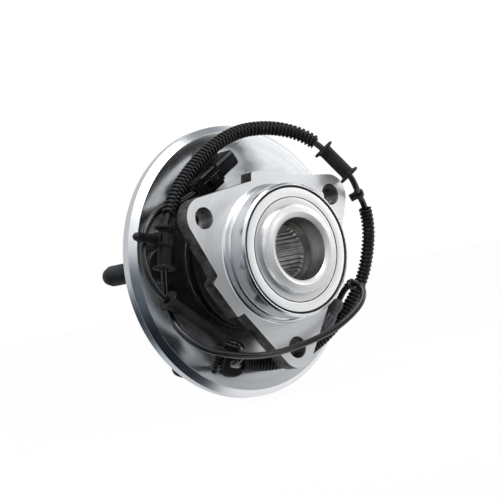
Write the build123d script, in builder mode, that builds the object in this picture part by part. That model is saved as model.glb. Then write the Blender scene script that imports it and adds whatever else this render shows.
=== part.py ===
from build123d import *
from math import atan2, cos, degrees, pi, radians, sin, sqrt, tan
import os

os.makedirs("parts", exist_ok=True)

# Wheel hub bearing unit, third generation: a flanged outer ring that bolts to the
# steering knuckle, and a flanged spindle that carries the wheel.
# Frame: origin at the centre of the knuckle bolt circle on the knuckle seat,
# +Y along the spindle towards the wheel, +Z up. Lengths are in millimetres.

# Knuckle side
knuckle_pcd = 127.0
knuckle_hole_radius = 7.25
lobe_count = 3
first_lobe_angle = 30.0
lobe_radius = 13.75
lobe_thickness = 15.0
plate_thickness = 11.0
plate_flat = 50.0
land_height = 5.8
land_start = -8.8
land_end = 19.6
pilot_radius = 44.45
pilot_length = 19.4
pilot_chamfer = 1.3
body_radius = 49.8
body_end = 33.0
rib_thickness = 15.0

# Wheel side
wheel_face = 48.0
flange_radius = 92.2
flange_thickness = 11.1
rim_chamfer = 4.35
edge_chamfer = 1.0
stud_pcd = 139.7
stud_count = 5
first_stud_angle = 30.3
stud_radius = 7.0
stud_knurl_radius = 7.35
stud_head_radius = 11.2
stud_head_thickness = 3.0
stud_reach = 50.0
stud_tip = 5.0
brake_pilot_radius = 47.5
brake_pilot_length = 6.0
wheel_pilot_radius = 38.85
wheel_pilot_length = 14.0

# Bearing
pitch_radius = 36.0
ball_diameter = 11.906
ball_count = 15
race_clearance = 0.03
race_conformity = 0.52
inboard_row = -3.8
outboard_row = 21.2
cage_half_width = 7.0
cage_thickness = 1.8
pocket_clearance = 0.2
inner_shoulder = 34.8
inner_low_shoulder = 31.4
outer_shoulder = 37.4
outer_low_shoulder = 40.6
spindle_seat_radius = 25.5
inner_ring_face = -19.0
inner_ring_length = 22.2
ring_corner = 0.8

# Spindle bore and nose
nose_end = -25.2
nose_radius = 30.0
mouth_radius = 22.6
counterbore_radius = 20.8
mouth_chamfer = 1.8
counterbore_end = -8.0
spline_start = -4.8
spline_end = 30.0
spline_root_radius = 17.6
spline_tip_radius = 16.1
spline_count = 33
nut_recess_radius = 27.0

# Speed sensor and its toothed ring
tone_seat_radius = 31.0
tone_radius = 36.6
tone_start = 5.7
tone_width = 6.0
tone_teeth = 48
tooth_depth = 2.4
sensor_gap = 0.7
sensor_angle = -59.5
sensor_axis = 8.7
sensor_radius = 4.9
sensor_fit = 0.1
sensor_seat = 56.5
head_length = 10.0
head_width = 12.5
head_depth = 10.5
head_offset = 2.75
screw_pitch = 12.0
screw_radius = 3.0
screw_head_radius = 4.6
screw_length = 12.0
ear_width = 10.0
ear_thickness = 5.0

# Seals
inboard_seal_radius = 42.6
seal_land_radius = 37.5
outboard_seal_section = 7.0
outboard_seal_start = 28.8
seal_depth = 7.4
slinger_sleeve = 6.0
seal_sheet = 0.8
lip_clearance = 0.05
running_gap = 0.15

# Harness
cable_radius = 2.1
upper_conduit_radius = 4.8
side_conduit_radius = 4.4
conduit_wall = 0.9
spool_radius = 4.7
spool_flange_radius = 7.5
spool_flange_thickness = 2.0
left_spool_length = 28.4
right_spool_length = 26.4
mouth_clearance = 0.6
mouth_depth = 6.5
sleeve_radius = 4.35
bulb_radius = 5.5

ball_radius = ball_diameter / 2
flange_face = wheel_face - flange_thickness
pilot_end = -pilot_length
hole_circle = knuckle_pcd / 2
outboard_seal_radius = seal_land_radius + outboard_seal_section
stud_circle = stud_pcd / 2
inner_ring_end = inner_ring_face + inner_ring_length
lobe_angles = [first_lobe_angle + 360 / lobe_count * i for i in range(lobe_count)]
stud_angles = [first_stud_angle + 360 / stud_count * i for i in range(stud_count)]

# Every ball groove is an arc a little larger than the ball.
groove_radius = race_conformity * ball_diameter
inner_groove_centre = pitch_radius - ball_radius - race_clearance + groove_radius
outer_groove_centre = pitch_radius + ball_radius + race_clearance - groove_radius


def rise(groove_centre, shoulder):
    """Half the width of a groove where it meets a shoulder."""
    return sqrt(groove_radius**2 - (shoulder - groove_centre) ** 2)


def seat_plane(y):
    """Plane across the spindle at y, with X to the right and Z up, facing the knuckle."""
    return Plane.XZ.offset(-y)


def radial_plane(angle):
    """Plane through the spindle axis, with its X outwards at the given angle and its Y along the axis."""
    turn = radians(angle)
    return Plane(origin=(0, 0, 0), x_dir=(cos(turn), 0, sin(turn)), z_dir=(-sin(turn), 0, cos(turn)))


def save(part, name):
    part.label = name
    export_step(part, "parts/" + name + ".step")


def export_ring(name, outline):
    """A ring turned about the spindle axis from corners given as (radius, y)."""
    with BuildPart() as ring:
        with BuildSketch(Plane.XY):
            with BuildLine():
                Polyline(*outline, close=True)
            make_face()
        revolve(axis=Axis.Y)
    save(ring.part, name)


# ---------------------------------------------------------------- bearing housing
# The outer ring: a forging with a three-lobed plate, a ground pilot that enters the
# knuckle and both outer raceways.

outer_reach = rise(outer_groove_centre, outer_shoulder)
outer_drop = rise(outer_groove_centre, outer_low_shoulder)
outer_bottom = outer_groove_centre + groove_radius
inboard_seal_floor = pilot_end + seal_depth


def tangent_direction(point, centre, radius, side):
    """Angle of the line from a point that touches a circle on the given side."""
    dx, dz = centre[0] - point[0], centre[1] - point[1]
    reach = sqrt(dx * dx + dz * dz)
    lean = atan2(radius, sqrt(reach * reach - radius * radius))
    return atan2(dz, dx) + side * lean


def crossing(point_a, angle_a, point_b, angle_b):
    """Where two lines meet."""
    ax, az = cos(angle_a), sin(angle_a)
    bx, bz = cos(angle_b), sin(angle_b)
    dx, dz = point_b[0] - point_a[0], point_b[1] - point_a[1]
    reach = (dx * bz - dz * bx) / (ax * bz - az * bx)
    return (point_a[0] + reach * ax, point_a[1] + reach * az)


def turned(point, angle):
    c, s = cos(radians(angle)), sin(radians(angle))
    return (point[0] * c - point[1] * s, point[0] * s + point[1] * c)


def plate_outline():
    """Corners and radii of the plate, clockwise from the upper left lobe.

    Two sides have a raised land. The third, where the sensor sits, is plain.
    """
    top = plate_flat + land_height
    land = [(land_start - 2.0, plate_flat), (land_start, top), (land_end, top), (land_end + 1.6, plate_flat - 0.4)]
    plain = [(land_start, plate_flat - 0.2), (land_end + 1.6, plate_flat - 0.4)]
    sides = [(land, 0.0), (plain, -120.0), (land, -240.0)]
    corners, radii = [], []
    for i, (side, angle) in enumerate(sides):
        here = [turned(p, angle) for p in side]
        nxt_side, nxt_angle = sides[(i + 1) % len(sides)]
        after = turned(nxt_side[0], nxt_angle)
        lobe = turned((hole_circle, 0), first_lobe_angle + angle)
        leaving = tangent_direction(here[-1], lobe, lobe_radius, 1)
        coming = tangent_direction(after, lobe, lobe_radius, -1)
        corners += here + [crossing(here[-1], leaving, after, coming)]
        radii += [1.5] * len(here) + [lobe_radius]
    return corners, radii


plate_corners, plate_radii = plate_outline()
pad_half = 13.0
pad_margin = 14.0
spot_margin = 11.0
outwards = (cos(radians(sensor_angle)), 0, sin(radians(sensor_angle)))
sideways = (-sin(radians(sensor_angle)), 0, cos(radians(sensor_angle)))


def sensor_plane(radius):
    """Plane across the sensor's own axis: its X runs along the spindle, its Y along the pad."""
    return Plane(
        origin=(radius * outwards[0], sensor_axis, radius * outwards[2]),
        x_dir=(0, 1, 0),
        z_dir=outwards,
    )


with BuildPart() as bearing_housing:
    with BuildSketch(Plane.XY):
        with BuildLine():
            Polyline(
                (inboard_seal_radius, inboard_seal_floor),
                (inboard_seal_radius, pilot_end),
                (pilot_radius - pilot_chamfer, pilot_end),
                (pilot_radius, pilot_end + pilot_chamfer),
                (pilot_radius, -8.2),
                (pilot_radius - 0.55, -7.6),
                (pilot_radius - 0.55, -5.6),
                (pilot_radius + 0.6, -4.8),
                (pilot_radius + 0.6, -1.6),
                (pilot_radius + 2.1, 0),
                (body_radius, 0),
                (body_radius, body_end - 7.0),
                (body_radius - 3.0, body_end),
                (outboard_seal_radius, body_end),
                (outboard_seal_radius, outboard_seal_start),
                (outer_low_shoulder, outboard_seal_start),
                (outer_low_shoulder, outboard_row + outer_drop),
            )
            ThreePointArc(
                (outer_low_shoulder, outboard_row + outer_drop),
                (outer_bottom, outboard_row),
                (outer_shoulder, outboard_row - outer_reach),
            )
            Line(
                (outer_shoulder, outboard_row - outer_reach),
                (outer_shoulder, inboard_row + outer_reach),
            )
            ThreePointArc(
                (outer_shoulder, inboard_row + outer_reach),
                (outer_bottom, inboard_row),
                (outer_low_shoulder, inboard_row - outer_drop),
            )
            Polyline(
                (outer_low_shoulder, inboard_row - outer_drop),
                (outer_low_shoulder, inboard_seal_floor),
                (inboard_seal_radius, inboard_seal_floor),
            )
        make_face()
    revolve(axis=Axis.Y)
    with BuildSketch(seat_plane(0)):
        with BuildLine():
            FilletPolyline(*plate_corners, radius=plate_radii, close=True)
        make_face()
        Circle(pilot_radius + 3.0, mode=Mode.SUBTRACT)
    extrude(amount=-plate_thickness)
    for angle in lobe_angles:
        # a round boss behind each bolt hole and a rib that ties it to the body
        with BuildSketch(seat_plane(plate_thickness)):
            with Locations(turned((hole_circle, 0), angle)):
                Circle(lobe_radius - 0.6)
        extrude(amount=plate_thickness - lobe_thickness)
        with BuildSketch(radial_plane(angle)):
            with BuildLine():
                Polyline(
                    (body_radius - 3.0, plate_thickness - 2.0),
                    (hole_circle + 6.0, plate_thickness - 2.0),
                    (hole_circle + 6.0, lobe_thickness),
                    (body_radius + 2.0, lobe_thickness + 3.5),
                    (body_radius - 0.5, body_end - 9.0),
                    (body_radius - 3.0, body_end - 5.0),
                    close=True,
                )
            make_face()
        extrude(amount=rib_thickness / 2, both=True)
        with BuildSketch(seat_plane(0)):
            with Locations(turned((hole_circle, 0), angle)):
                Circle(knuckle_hole_radius)
        extrude(amount=-body_end, mode=Mode.SUBTRACT)
    # spot-faced pad with the drilled hole for the sensor and the tapped one for its screw
    with BuildSketch(sensor_plane(body_radius - 4.0)):
        with Locations((screw_pitch / 2 - 1.0, 0)):
            Rectangle(screw_pitch + pad_margin, 2 * pad_half)
    extrude(amount=sensor_seat - body_radius + 4.0)
    with BuildSketch(sensor_plane(sensor_seat)):
        with Locations((screw_pitch / 2, head_offset)):
            Rectangle(screw_pitch + spot_margin, head_width + 5.0)
    extrude(amount=head_length, mode=Mode.SUBTRACT)
    with BuildSketch(sensor_plane(0)):
        Circle(sensor_radius + sensor_fit)
    extrude(amount=sensor_seat + 5.0, mode=Mode.SUBTRACT)
    with BuildSketch(sensor_plane(sensor_seat - screw_length)):
        with Locations((screw_pitch, 0)):
            Circle(screw_radius)
    extrude(amount=screw_length + 5.0, mode=Mode.SUBTRACT)
save(bearing_housing.part, "bearing_housing")

# ---------------------------------------------------------------- hub flange
# The spindle and wheel flange in one forging, with the outboard inner raceway ground
# on it, a splined bore and an inboard end rolled over the inner ring.

inner_reach = rise(inner_groove_centre, inner_shoulder)
inner_drop = rise(inner_groove_centre, inner_low_shoulder)
inner_bottom = inner_groove_centre - groove_radius
pilot_face = wheel_face + wheel_pilot_length
brake_face = wheel_face + brake_pilot_length

with BuildPart() as hub_flange:
    with BuildSketch(Plane.XY):
        with BuildLine():
            Polyline(
                (inner_low_shoulder, outboard_row - inner_drop),
                (tone_seat_radius, outboard_row - inner_drop - 0.6),
                (tone_seat_radius, inner_ring_end),
                (spindle_seat_radius, inner_ring_end),
                (spindle_seat_radius, inner_ring_face),
                (nose_radius - 0.8, inner_ring_face),
                (nose_radius, inner_ring_face - 1.2),
                (nose_radius, inner_ring_face - 2.6),
                (nose_radius - 1.4, nose_end + 1.9),
                (nose_radius - 3.1, nose_end + 1.5),
                (nose_radius - 5.4, nose_end),
                (mouth_radius, nose_end),
                (counterbore_radius, nose_end + mouth_chamfer),
                (counterbore_radius, counterbore_end),
                (spline_root_radius + 0.3, spline_start),
                (spline_tip_radius, spline_start + 1.8),
                (spline_tip_radius, spline_end - 1.0),
                (spline_tip_radius + 1.0, spline_end),
                (nut_recess_radius, spline_end),
                (nut_recess_radius, pilot_face - 2.0),
                (nut_recess_radius + 2.0, pilot_face),
                (wheel_pilot_radius - 1.5, pilot_face),
                (wheel_pilot_radius, pilot_face - 1.5),
                (wheel_pilot_radius, brake_face),
                (brake_pilot_radius - 0.6, brake_face),
                (brake_pilot_radius, brake_face - 0.6),
                (brake_pilot_radius, wheel_face - 0.8),
                (brake_pilot_radius + 7.0, wheel_face - 0.8),
                (brake_pilot_radius + 7.8, wheel_face),
                (flange_radius - edge_chamfer, wheel_face),
                (flange_radius, wheel_face - edge_chamfer),
                (flange_radius, flange_face + rim_chamfer),
                (flange_radius - rim_chamfer, flange_face),
                (seal_land_radius + 6.0, flange_face),
            )
            TangentArc(
                (seal_land_radius + 6.0, flange_face),
                (seal_land_radius, flange_face - 3.6),
                tangent=(-1, 0),
            )
            Polyline(
                (seal_land_radius, flange_face - 3.6),
                (seal_land_radius, outboard_seal_start + 1.4),
                (inner_shoulder, outboard_seal_start - 0.1),
                (inner_shoulder, outboard_row + inner_reach),
            )
            ThreePointArc(
                (inner_shoulder, outboard_row + inner_reach),
                (inner_bottom, outboard_row),
                (inner_low_shoulder, outboard_row - inner_drop),
            )
        make_face()
    revolve(axis=Axis.Y)
    with BuildSketch(seat_plane(flange_face - 1.0)):
        with Locations(*[turned((stud_circle, 0), a) for a in stud_angles]):
            Circle(stud_knurl_radius)
    extrude(amount=-(flange_thickness + 2.0), mode=Mode.SUBTRACT)
    spline_pitch = 2 * pi * spline_root_radius / spline_count
    spline_depth = spline_root_radius - spline_tip_radius + 0.6
    with BuildSketch(seat_plane(spline_start - 1.5)):
        with PolarLocations(spline_root_radius - spline_depth / 2, spline_count):
            Trapezoid(0.66 * spline_pitch, spline_depth, 70, rotation=-90)
    extrude(amount=-(spline_end - spline_start + 3.0), mode=Mode.SUBTRACT)
save(hub_flange.part, "hub_flange")

# ---------------------------------------------------------------- wheel studs
# Pressed in from the knuckle side: a low round head, a knurled neck and the thread.

with BuildPart() as wheel_studs:
    for angle in stud_angles:
        place = turned((stud_circle, 0), angle)
        with BuildSketch(seat_plane(flange_face)):
            with Locations(place):
                Circle(stud_head_radius)
        extrude(amount=stud_head_thickness)
        with BuildSketch(seat_plane(flange_face)):
            with Locations(place):
                Circle(stud_knurl_radius)
        extrude(amount=-flange_thickness)
        with BuildSketch(seat_plane(flange_face)):
            with Locations(place):
                Circle(stud_radius)
        extrude(amount=-(flange_thickness + stud_reach - stud_tip))
        with BuildSketch(seat_plane(wheel_face + stud_reach - stud_tip)):
            with Locations(place):
                Circle(stud_radius)
        extrude(amount=-0.6 * stud_tip, taper=14)
        with BuildSketch(seat_plane(wheel_face + stud_reach - 0.4 * stud_tip)):
            with Locations(place):
                Circle(stud_radius - 0.6 * stud_tip * tan(radians(14)))
        extrude(amount=-0.4 * stud_tip, taper=45)
save(wheel_studs.part, "wheel_studs")

# ---------------------------------------------------------------- inner ring
# The separate inboard inner ring, held by the rolled nose.

with BuildPart() as inner_ring:
    with BuildSketch(Plane.XY):
        with BuildLine():
            Polyline(
                (inner_low_shoulder, inboard_row + inner_drop),
                (inner_low_shoulder, inner_ring_end),
                (spindle_seat_radius, inner_ring_end),
                (spindle_seat_radius, inner_ring_face),
                (inner_shoulder - ring_corner, inner_ring_face),
                (inner_shoulder, inner_ring_face + ring_corner),
                (inner_shoulder, inboard_row - inner_reach),
            )
            ThreePointArc(
                (inner_shoulder, inboard_row - inner_reach),
                (inner_bottom, inboard_row),
                (inner_low_shoulder, inboard_row + inner_drop),
            )
        make_face()
    revolve(axis=Axis.Y)
save(inner_ring.part, "inner_ring")

# ---------------------------------------------------------------- balls and cages

cage_inner = pitch_radius + 0.1 - cage_thickness / 2
cage_outer = cage_inner + cage_thickness


def export_row(row, first_angle, balls_name, cage_name):
    """One ring of balls and the cage that spaces them."""
    angles = [first_angle + 360 / ball_count * i for i in range(ball_count)]
    centres = [(pitch_radius * cos(radians(a)), row, pitch_radius * sin(radians(a))) for a in angles]
    with BuildPart() as balls:
        with Locations(*centres):
            Sphere(ball_radius)
    save(balls.part, balls_name)
    with BuildPart() as cage:
        with BuildSketch(seat_plane(row + cage_half_width)):
            Circle(cage_outer)
            Circle(cage_inner, mode=Mode.SUBTRACT)
        extrude(amount=2 * cage_half_width)
        for centre in centres:
            with BuildSketch(Plane(origin=centre, x_dir=(0, 1, 0), z_dir=(centre[0], 0, centre[2]))):
                Circle(ball_radius + pocket_clearance)
            extrude(amount=ball_radius, both=True, mode=Mode.SUBTRACT)
    save(cage.part, cage_name)


export_row(inboard_row, 0.0, "inboard_balls", "inboard_cage")
export_row(outboard_row, 180 / ball_count, "outboard_balls", "outboard_cage")

# ---------------------------------------------------------------- tone ring
# Toothed steel ring pressed on the spindle between the two rows.

with BuildPart() as tone_ring:
    with BuildSketch(seat_plane(tone_start)):
        Circle(tone_radius)
        Circle(tone_seat_radius, mode=Mode.SUBTRACT)
        with PolarLocations(tone_radius, tone_teeth):
            Rectangle(2 * tooth_depth, pi * tone_radius / tone_teeth, mode=Mode.SUBTRACT)
    extrude(amount=-tone_width)
save(tone_ring.part, "tone_ring")

# ---------------------------------------------------------------- seals

slinger_edge = 41.0
export_ring("inboard_slinger", [
    (inner_shoulder, inner_ring_face + ring_corner + slinger_sleeve),
    (inner_shoulder, inner_ring_face + ring_corner),
    (inner_shoulder + 0.3, pilot_end + 0.2),
    (slinger_edge, pilot_end + 0.2),
    (slinger_edge, pilot_end + 0.2 + seal_sheet),
    (inner_shoulder + seal_sheet, pilot_end + 0.2 + seal_sheet),
    (inner_shoulder + seal_sheet, inner_ring_face + ring_corner + slinger_sleeve),
])
export_ring("inboard_seal_case", [
    (inboard_seal_radius, pilot_end + 0.3),
    (inboard_seal_radius - seal_sheet, pilot_end + 0.3),
    (inboard_seal_radius - seal_sheet, inboard_seal_floor - seal_sheet),
    (inner_shoulder + 2.8, inboard_seal_floor - seal_sheet),
    (inner_shoulder + 2.8, inboard_seal_floor),
    (inboard_seal_radius, inboard_seal_floor),
])
rubber_outer = inboard_seal_radius - seal_sheet
rubber_floor = inboard_seal_floor - seal_sheet
export_ring("inboard_seal_lip", [
    (rubber_outer, pilot_end + 0.1),
    (slinger_edge + running_gap, pilot_end + 0.1),
    (slinger_edge + running_gap, pilot_end + 1.6),
    (slinger_edge - 1.2, rubber_floor - 1.6),
    (slinger_edge - 2.8, pilot_end + 0.2 + seal_sheet + lip_clearance),
    (slinger_edge - 3.4, pilot_end + 0.2 + seal_sheet + lip_clearance),
    (slinger_edge - 2.4, rubber_floor - 1.2),
    (inner_shoulder + seal_sheet + lip_clearance, rubber_floor - 1.9),
    (inner_shoulder + seal_sheet + lip_clearance, rubber_floor - 1.2),
    (inner_shoulder + 2.8, rubber_floor),
    (rubber_outer, rubber_floor),
])
export_ring("outboard_seal_case", [
    (outboard_seal_radius, outboard_seal_start),
    (outboard_seal_radius, body_end - 0.2),
    (outboard_seal_radius - seal_sheet, body_end - 0.2),
    (outboard_seal_radius - seal_sheet, outboard_seal_start + seal_sheet),
    (seal_land_radius + 2.4, outboard_seal_start + seal_sheet),
    (seal_land_radius + 2.4, outboard_seal_start),
])
export_ring("outboard_seal_lip", [
    (outboard_seal_radius - seal_sheet, outboard_seal_start + seal_sheet),
    (outboard_seal_radius - seal_sheet, body_end - 0.1),
    (outboard_seal_radius - seal_sheet - 1.0, body_end - 0.1),
    (outboard_seal_radius - 3.2, outboard_seal_start + 1.9),
    (seal_land_radius + 1.9, outboard_seal_start + 1.9),
    (seal_land_radius + lip_clearance, outboard_seal_start + 2.9),
    (seal_land_radius + lip_clearance, outboard_seal_start + 2.2),
    (seal_land_radius + 1.2, outboard_seal_start + seal_sheet),
])

# ---------------------------------------------------------------- speed sensor
# A stem that looks at the tone ring, a moulded head on the pad, a screw ear and a
# short outlet that carries the boot.

tip_radius = tone_radius + sensor_gap
oring_place = tip_radius + 9.0
oring_width = 2.2
oring_depth = 1.2
outlet_radius = 3.9
outlet_root = (38.0, sensor_axis, -53.1)
outlet_direction = (1, 0, 1)
outlet_length = 5.2


def outlet_plane(along):
    """Plane across the cable outlet of the sensor head."""
    direction = Vector(*outlet_direction).normalized()
    return Plane(origin=Vector(*outlet_root) + direction * along, z_dir=direction)


with BuildPart() as speed_sensor:
    with BuildSketch(sensor_plane(tip_radius)):
        Circle(sensor_radius)
    extrude(amount=sensor_seat - tip_radius)
    with BuildSketch(sensor_plane(sensor_seat)):
        with Locations((0, head_offset)):
            RectangleRounded(head_depth, head_width, 2.0)
    extrude(amount=head_length)
    with BuildSketch(sensor_plane(sensor_seat)):
        with Locations((screw_pitch / 2, 0)):
            SlotCenterToCenter(screw_pitch, ear_width)
    extrude(amount=ear_thickness)
    with BuildSketch(outlet_plane(0)):
        Circle(outlet_radius)
    extrude(amount=outlet_length)
    with BuildSketch(sensor_plane(sensor_seat)):
        with Locations((screw_pitch, 0)):
            Circle(screw_radius + sensor_fit)
    extrude(amount=ear_thickness, mode=Mode.SUBTRACT)
    with BuildSketch(sensor_plane(oring_place)):
        Circle(sensor_radius + 1.0)
        Circle(sensor_radius - oring_depth, mode=Mode.SUBTRACT)
    extrude(amount=oring_width, mode=Mode.SUBTRACT)
save(speed_sensor.part, "speed_sensor")

with BuildPart() as sensor_oring:
    with BuildSketch(sensor_plane(oring_place + 0.1)):
        Circle(sensor_radius + sensor_fit)
        Circle(sensor_radius - oring_depth, mode=Mode.SUBTRACT)
    extrude(amount=oring_width - 0.2)
save(sensor_oring.part, "sensor_oring")

with BuildPart() as sensor_screw:
    with BuildSketch(sensor_plane(sensor_seat - screw_length)):
        with Locations((screw_pitch, 0)):
            Circle(screw_radius)
    extrude(amount=screw_length + ear_thickness)
    with BuildSketch(sensor_plane(sensor_seat + ear_thickness)):
        with Locations((screw_pitch, 0)):
            Circle(screw_head_radius)
    extrude(amount=4.0)
    with BuildSketch(sensor_plane(sensor_seat + ear_thickness + 4.0)):
        with Locations((screw_pitch, 0)):
            RegularPolygon(2.6, 6)
    extrude(amount=-2.5, mode=Mode.SUBTRACT)
save(sensor_screw.part, "sensor_screw")

# ---------------------------------------------------------------- cable route
# One two-core cable, from the sensor boot to the connector. It is looped once round
# the hub as packed, and folds back on itself below. Each list is one stretch of its
# centre line; every point between the two ends is a bend.

sensor_loop = [
    (51.6, 8.7, -39.5), (54.0, 6.5, -35.0), (56.0, 2.0, -31.2), (57.8, -3.5, -30.0), (58.3, -8.5, -32.5),
    (56.0, -12.5, -38.0), (50.4, -14.0, -44.3), (40.6, -13.5, -50.3), (28.0, -12.0, -56.0),
]
lower_run = [
    (12.5, -10.0, -60.0), (-7.0, -8.0, -62.6), (-26.5, -8.0, -63.6), (-47.0, -8.0, -61.6), (-64.6, -5.0, -56.6),
]
left_rise = [
    (-77.2, 0.0, -50.2), (-83.0, 6.5, -41.8), (-85.0, 14.0, -32.0), (-82.5, 20.6, -22.3), (-81.6, 21.8, -12.5),
    (-83.2, 18.2, -4.0),
]
left_spool_run = [(-83.6, 15.2, 4.0), (-74.8, 15.0, 33.0)]
upper_arc = [
    (-67.5, 15.3, 44.5), (-58.0, 16.2, 55.0), (-43.5, 17.0, 65.8), (-24.3, 18.0, 77.0), (-1.0, 17.8, 84.8),
    (19.5, 15.0, 84.9), (37.0, 10.8, 80.6), (48.5, 4.5, 73.0),
]
right_spool_run = [(55.4, -0.8, 63.7), (67.7, -9.9, 40.9)]
right_gap = [(71.3, -8.7, 34.0), (78.0, -3.0, 27.3)]
side_arc = [
    (83.8, 0.0, 19.0), (86.0, 3.0, 4.0), (83.0, 5.5, -11.5), (76.8, 9.0, -28.5), (65.6, 13.0, -43.2),
    (52.7, 17.0, -55.0), (38.6, 20.5, -63.9), (23.0, 23.3, -70.1), (5.3, 25.0, -72.6), (-11.5, 26.0, -71.0),
    (-26.0, 25.5, -68.0),
]
fold = [
    (-37.7, 20.0, -66.7), (-46.2, 14.7, -64.9), (-47.0, 4.4, -63.4), (-44.2, 1.9, -57.6), (-41.7, 6.7, -53.5),
    (-43.6, 10.9, -51.9),
]
sleeve_run = [(-52.0, 13.0, -46.3), (-88.5, 13.0, -14.5)]
left_return = [
    (-94.1, 13.2, -7.5), (-97.3, 14.1, 1.0), (-97.7, 15.4, 10.0), (-95.3, 17.9, 19.0), (-90.6, 19.9, 27.9),
    (-84.5, 20.7, 35.8), (-75.4, 22.3, 41.8), (-63.7, 24.3, 44.4), (-49.1, 24.1, 45.5),
]
connector_entry = (-36.5, 24.0, 51.3)
connector_direction = (33.6, 0.0, 17.1)

cable_route = (
    sensor_loop + lower_run + left_rise + left_spool_run + upper_arc + right_spool_run
    + right_gap + side_arc + fold + sleeve_run + left_return + [connector_entry]
)
arc_share = 0.45


def bend_radii(points):
    """A radius for each inner point, so that its arc takes the same share of the shorter run."""
    radii = []
    for before, here, after in zip(points, points[1:], points[2:]):
        run_in = Vector(*here) - Vector(*before)
        run_out = Vector(*after) - Vector(*here)
        half_turn = radians(run_in.get_angle(run_out)) / 2
        radii.append(arc_share * min(run_in.length, run_out.length) / tan(half_turn))
    return radii


cable_radii = bend_radii(cable_route)
print("cable bend radii:", [round(r, 1) for r in cable_radii])


def between(start, end, share):
    return tuple(a + share * (b - a) for a, b in zip(start, end))


def stretch(first, last, share_in=0.5, share_out=0.5):
    """The part of the route from a share of the run before one point to a share of the run after another."""
    i, j = cable_route.index(first), cable_route.index(last)
    start = between(cable_route[i - 1], first, share_in)
    end = between(last, cable_route[j + 1], share_out)
    return [start] + cable_route[i:j + 1] + [end], cable_radii[i - 1:j]


def run_plane(start, end, along):
    """Plane across a straight run, a distance from its start."""
    direction = (Vector(*end) - Vector(*start)).normalized()
    return Plane(origin=Vector(*start) + direction * along, z_dir=direction)


def export_tube(points, radii, outer, inner, name):
    """A tube along straight runs joined by tangent arcs; it prints its length and volume."""
    with BuildPart() as tube:
        with BuildLine() as path:
            FilletPolyline(*points, radius=radii)
        with BuildSketch(run_plane(points[0], points[1], 0)):
            Circle(outer)
            if inner > 0:
                Circle(inner, mode=Mode.SUBTRACT)
        sweep(path=path.wires()[0])
    save(tube.part, name)
    length = path.wires()[0].length
    ideal = pi * (outer**2 - inner**2) * length
    print(name, "length", round(length, 1), "volume", round(tube.part.volume), "of", round(ideal))


export_tube(cable_route, cable_radii, cable_radius, 0, "sensor_cable")
points, radii = stretch(upper_arc[0], upper_arc[-1], 0.53, 0.54)
export_tube(points, radii, upper_conduit_radius, upper_conduit_radius - conduit_wall, "upper_conduit")
points, radii = stretch(side_arc[1], side_arc[-1], 0.08, 0.46)
export_tube(points, radii, side_conduit_radius, side_conduit_radius - conduit_wall, "side_conduit")

# ---------------------------------------------------------------- sensor boot
# Rubber bulb on the sensor outlet, with a neck that turns to the cable.

boot_bulb = 14.4
neck_length = 4.4

with BuildPart() as sensor_boot:
    with BuildSketch(outlet_plane(outlet_length)):
        Circle(3.4)
    extrude(amount=6.0)
    with Locations(outlet_plane(boot_bulb)):
        Sphere(4.3)
    with BuildSketch(run_plane(sensor_loop[0], sensor_loop[1], -neck_length)):
        Circle(3.6)
    extrude(amount=neck_length, taper=13)
save(sensor_boot.part, "sensor_boot")

# ---------------------------------------------------------------- rubber spools and sleeve
# Each is a moulding that grips the cable along its middle, with wider mouths.


def bore_run(start, end, first, last):
    """Bore a moulding for the cable, with a wider mouth at each end."""
    with BuildSketch(run_plane(start, end, first)) as grip:
        Circle(cable_radius)
    extrude(grip.sketch, amount=last - first, mode=Mode.SUBTRACT)
    for place in (first, last - mouth_depth):
        with BuildSketch(run_plane(start, end, place)) as mouth:
            Circle(cable_radius + mouth_clearance)
        extrude(mouth.sketch, amount=mouth_depth, mode=Mode.SUBTRACT)


def export_spool(run, first, last, name):
    """A spool with a round flange at each end."""
    start, end = run
    with BuildPart() as spool:
        with BuildSketch(run_plane(start, end, first)):
            Circle(spool_radius)
        extrude(amount=last - first)
        for place in (first, last - spool_flange_thickness):
            with BuildSketch(run_plane(start, end, place)):
                Circle(spool_flange_radius)
            extrude(amount=spool_flange_thickness)
        bore_run(start, end, first, last)
    save(spool.part, name)


export_spool(left_spool_run, 0.2, 0.2 + left_spool_length, "left_spool")
export_spool(right_spool_run, 0.6, 0.6 + right_spool_length, "right_spool")

sleeve_start, sleeve_end = sleeve_run
sleeve_length = 47.6

with BuildPart() as long_sleeve:
    with BuildSketch(run_plane(sleeve_start, sleeve_end, 0)):
        Circle(sleeve_radius)
    extrude(amount=sleeve_length)
    with BuildSketch(run_plane(sleeve_start, sleeve_end, sleeve_length - spool_flange_thickness)):
        Circle(spool_flange_radius)
    extrude(amount=spool_flange_thickness)
    with Locations(run_plane(sleeve_start, sleeve_end, 0)):
        Sphere(bulb_radius)
    bore_run(sleeve_start, sleeve_end, 0, sleeve_length)
    with BuildSketch(run_plane(sleeve_start, fold[-1], -1.5)):
        Circle(cable_radius + mouth_clearance)
    extrude(amount=bulb_radius + 3.0, mode=Mode.SUBTRACT)
save(long_sleeve.part, "long_sleeve")

# ---------------------------------------------------------------- push-in clips
# A band round the rubber with a fir-tree stem that pushes into a body hole.

fin_radius = 3.3
fin_thickness = 0.8
fin_pitch = 1.9
stem_radius = 1.7


def fir_tree(base, direction, fins):
    """A finned stem with a pointed tip."""
    along = Vector(*direction).normalized()
    stem_length = fins * fin_pitch
    with BuildSketch(Plane(origin=base, z_dir=along)) as stem:
        Circle(stem_radius)
    extrude(stem.sketch, amount=stem_length)
    for i in range(fins):
        with BuildSketch(Plane(origin=base + along * ((i + 0.4) * fin_pitch), z_dir=along)) as fin:
            Circle(fin_radius)
        extrude(fin.sketch, amount=fin_thickness)
    with BuildSketch(Plane(origin=base + along * stem_length, z_dir=along)) as tip:
        Circle(fin_radius - 0.7)
    extrude(tip.sketch, amount=2.6, taper=38)


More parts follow.
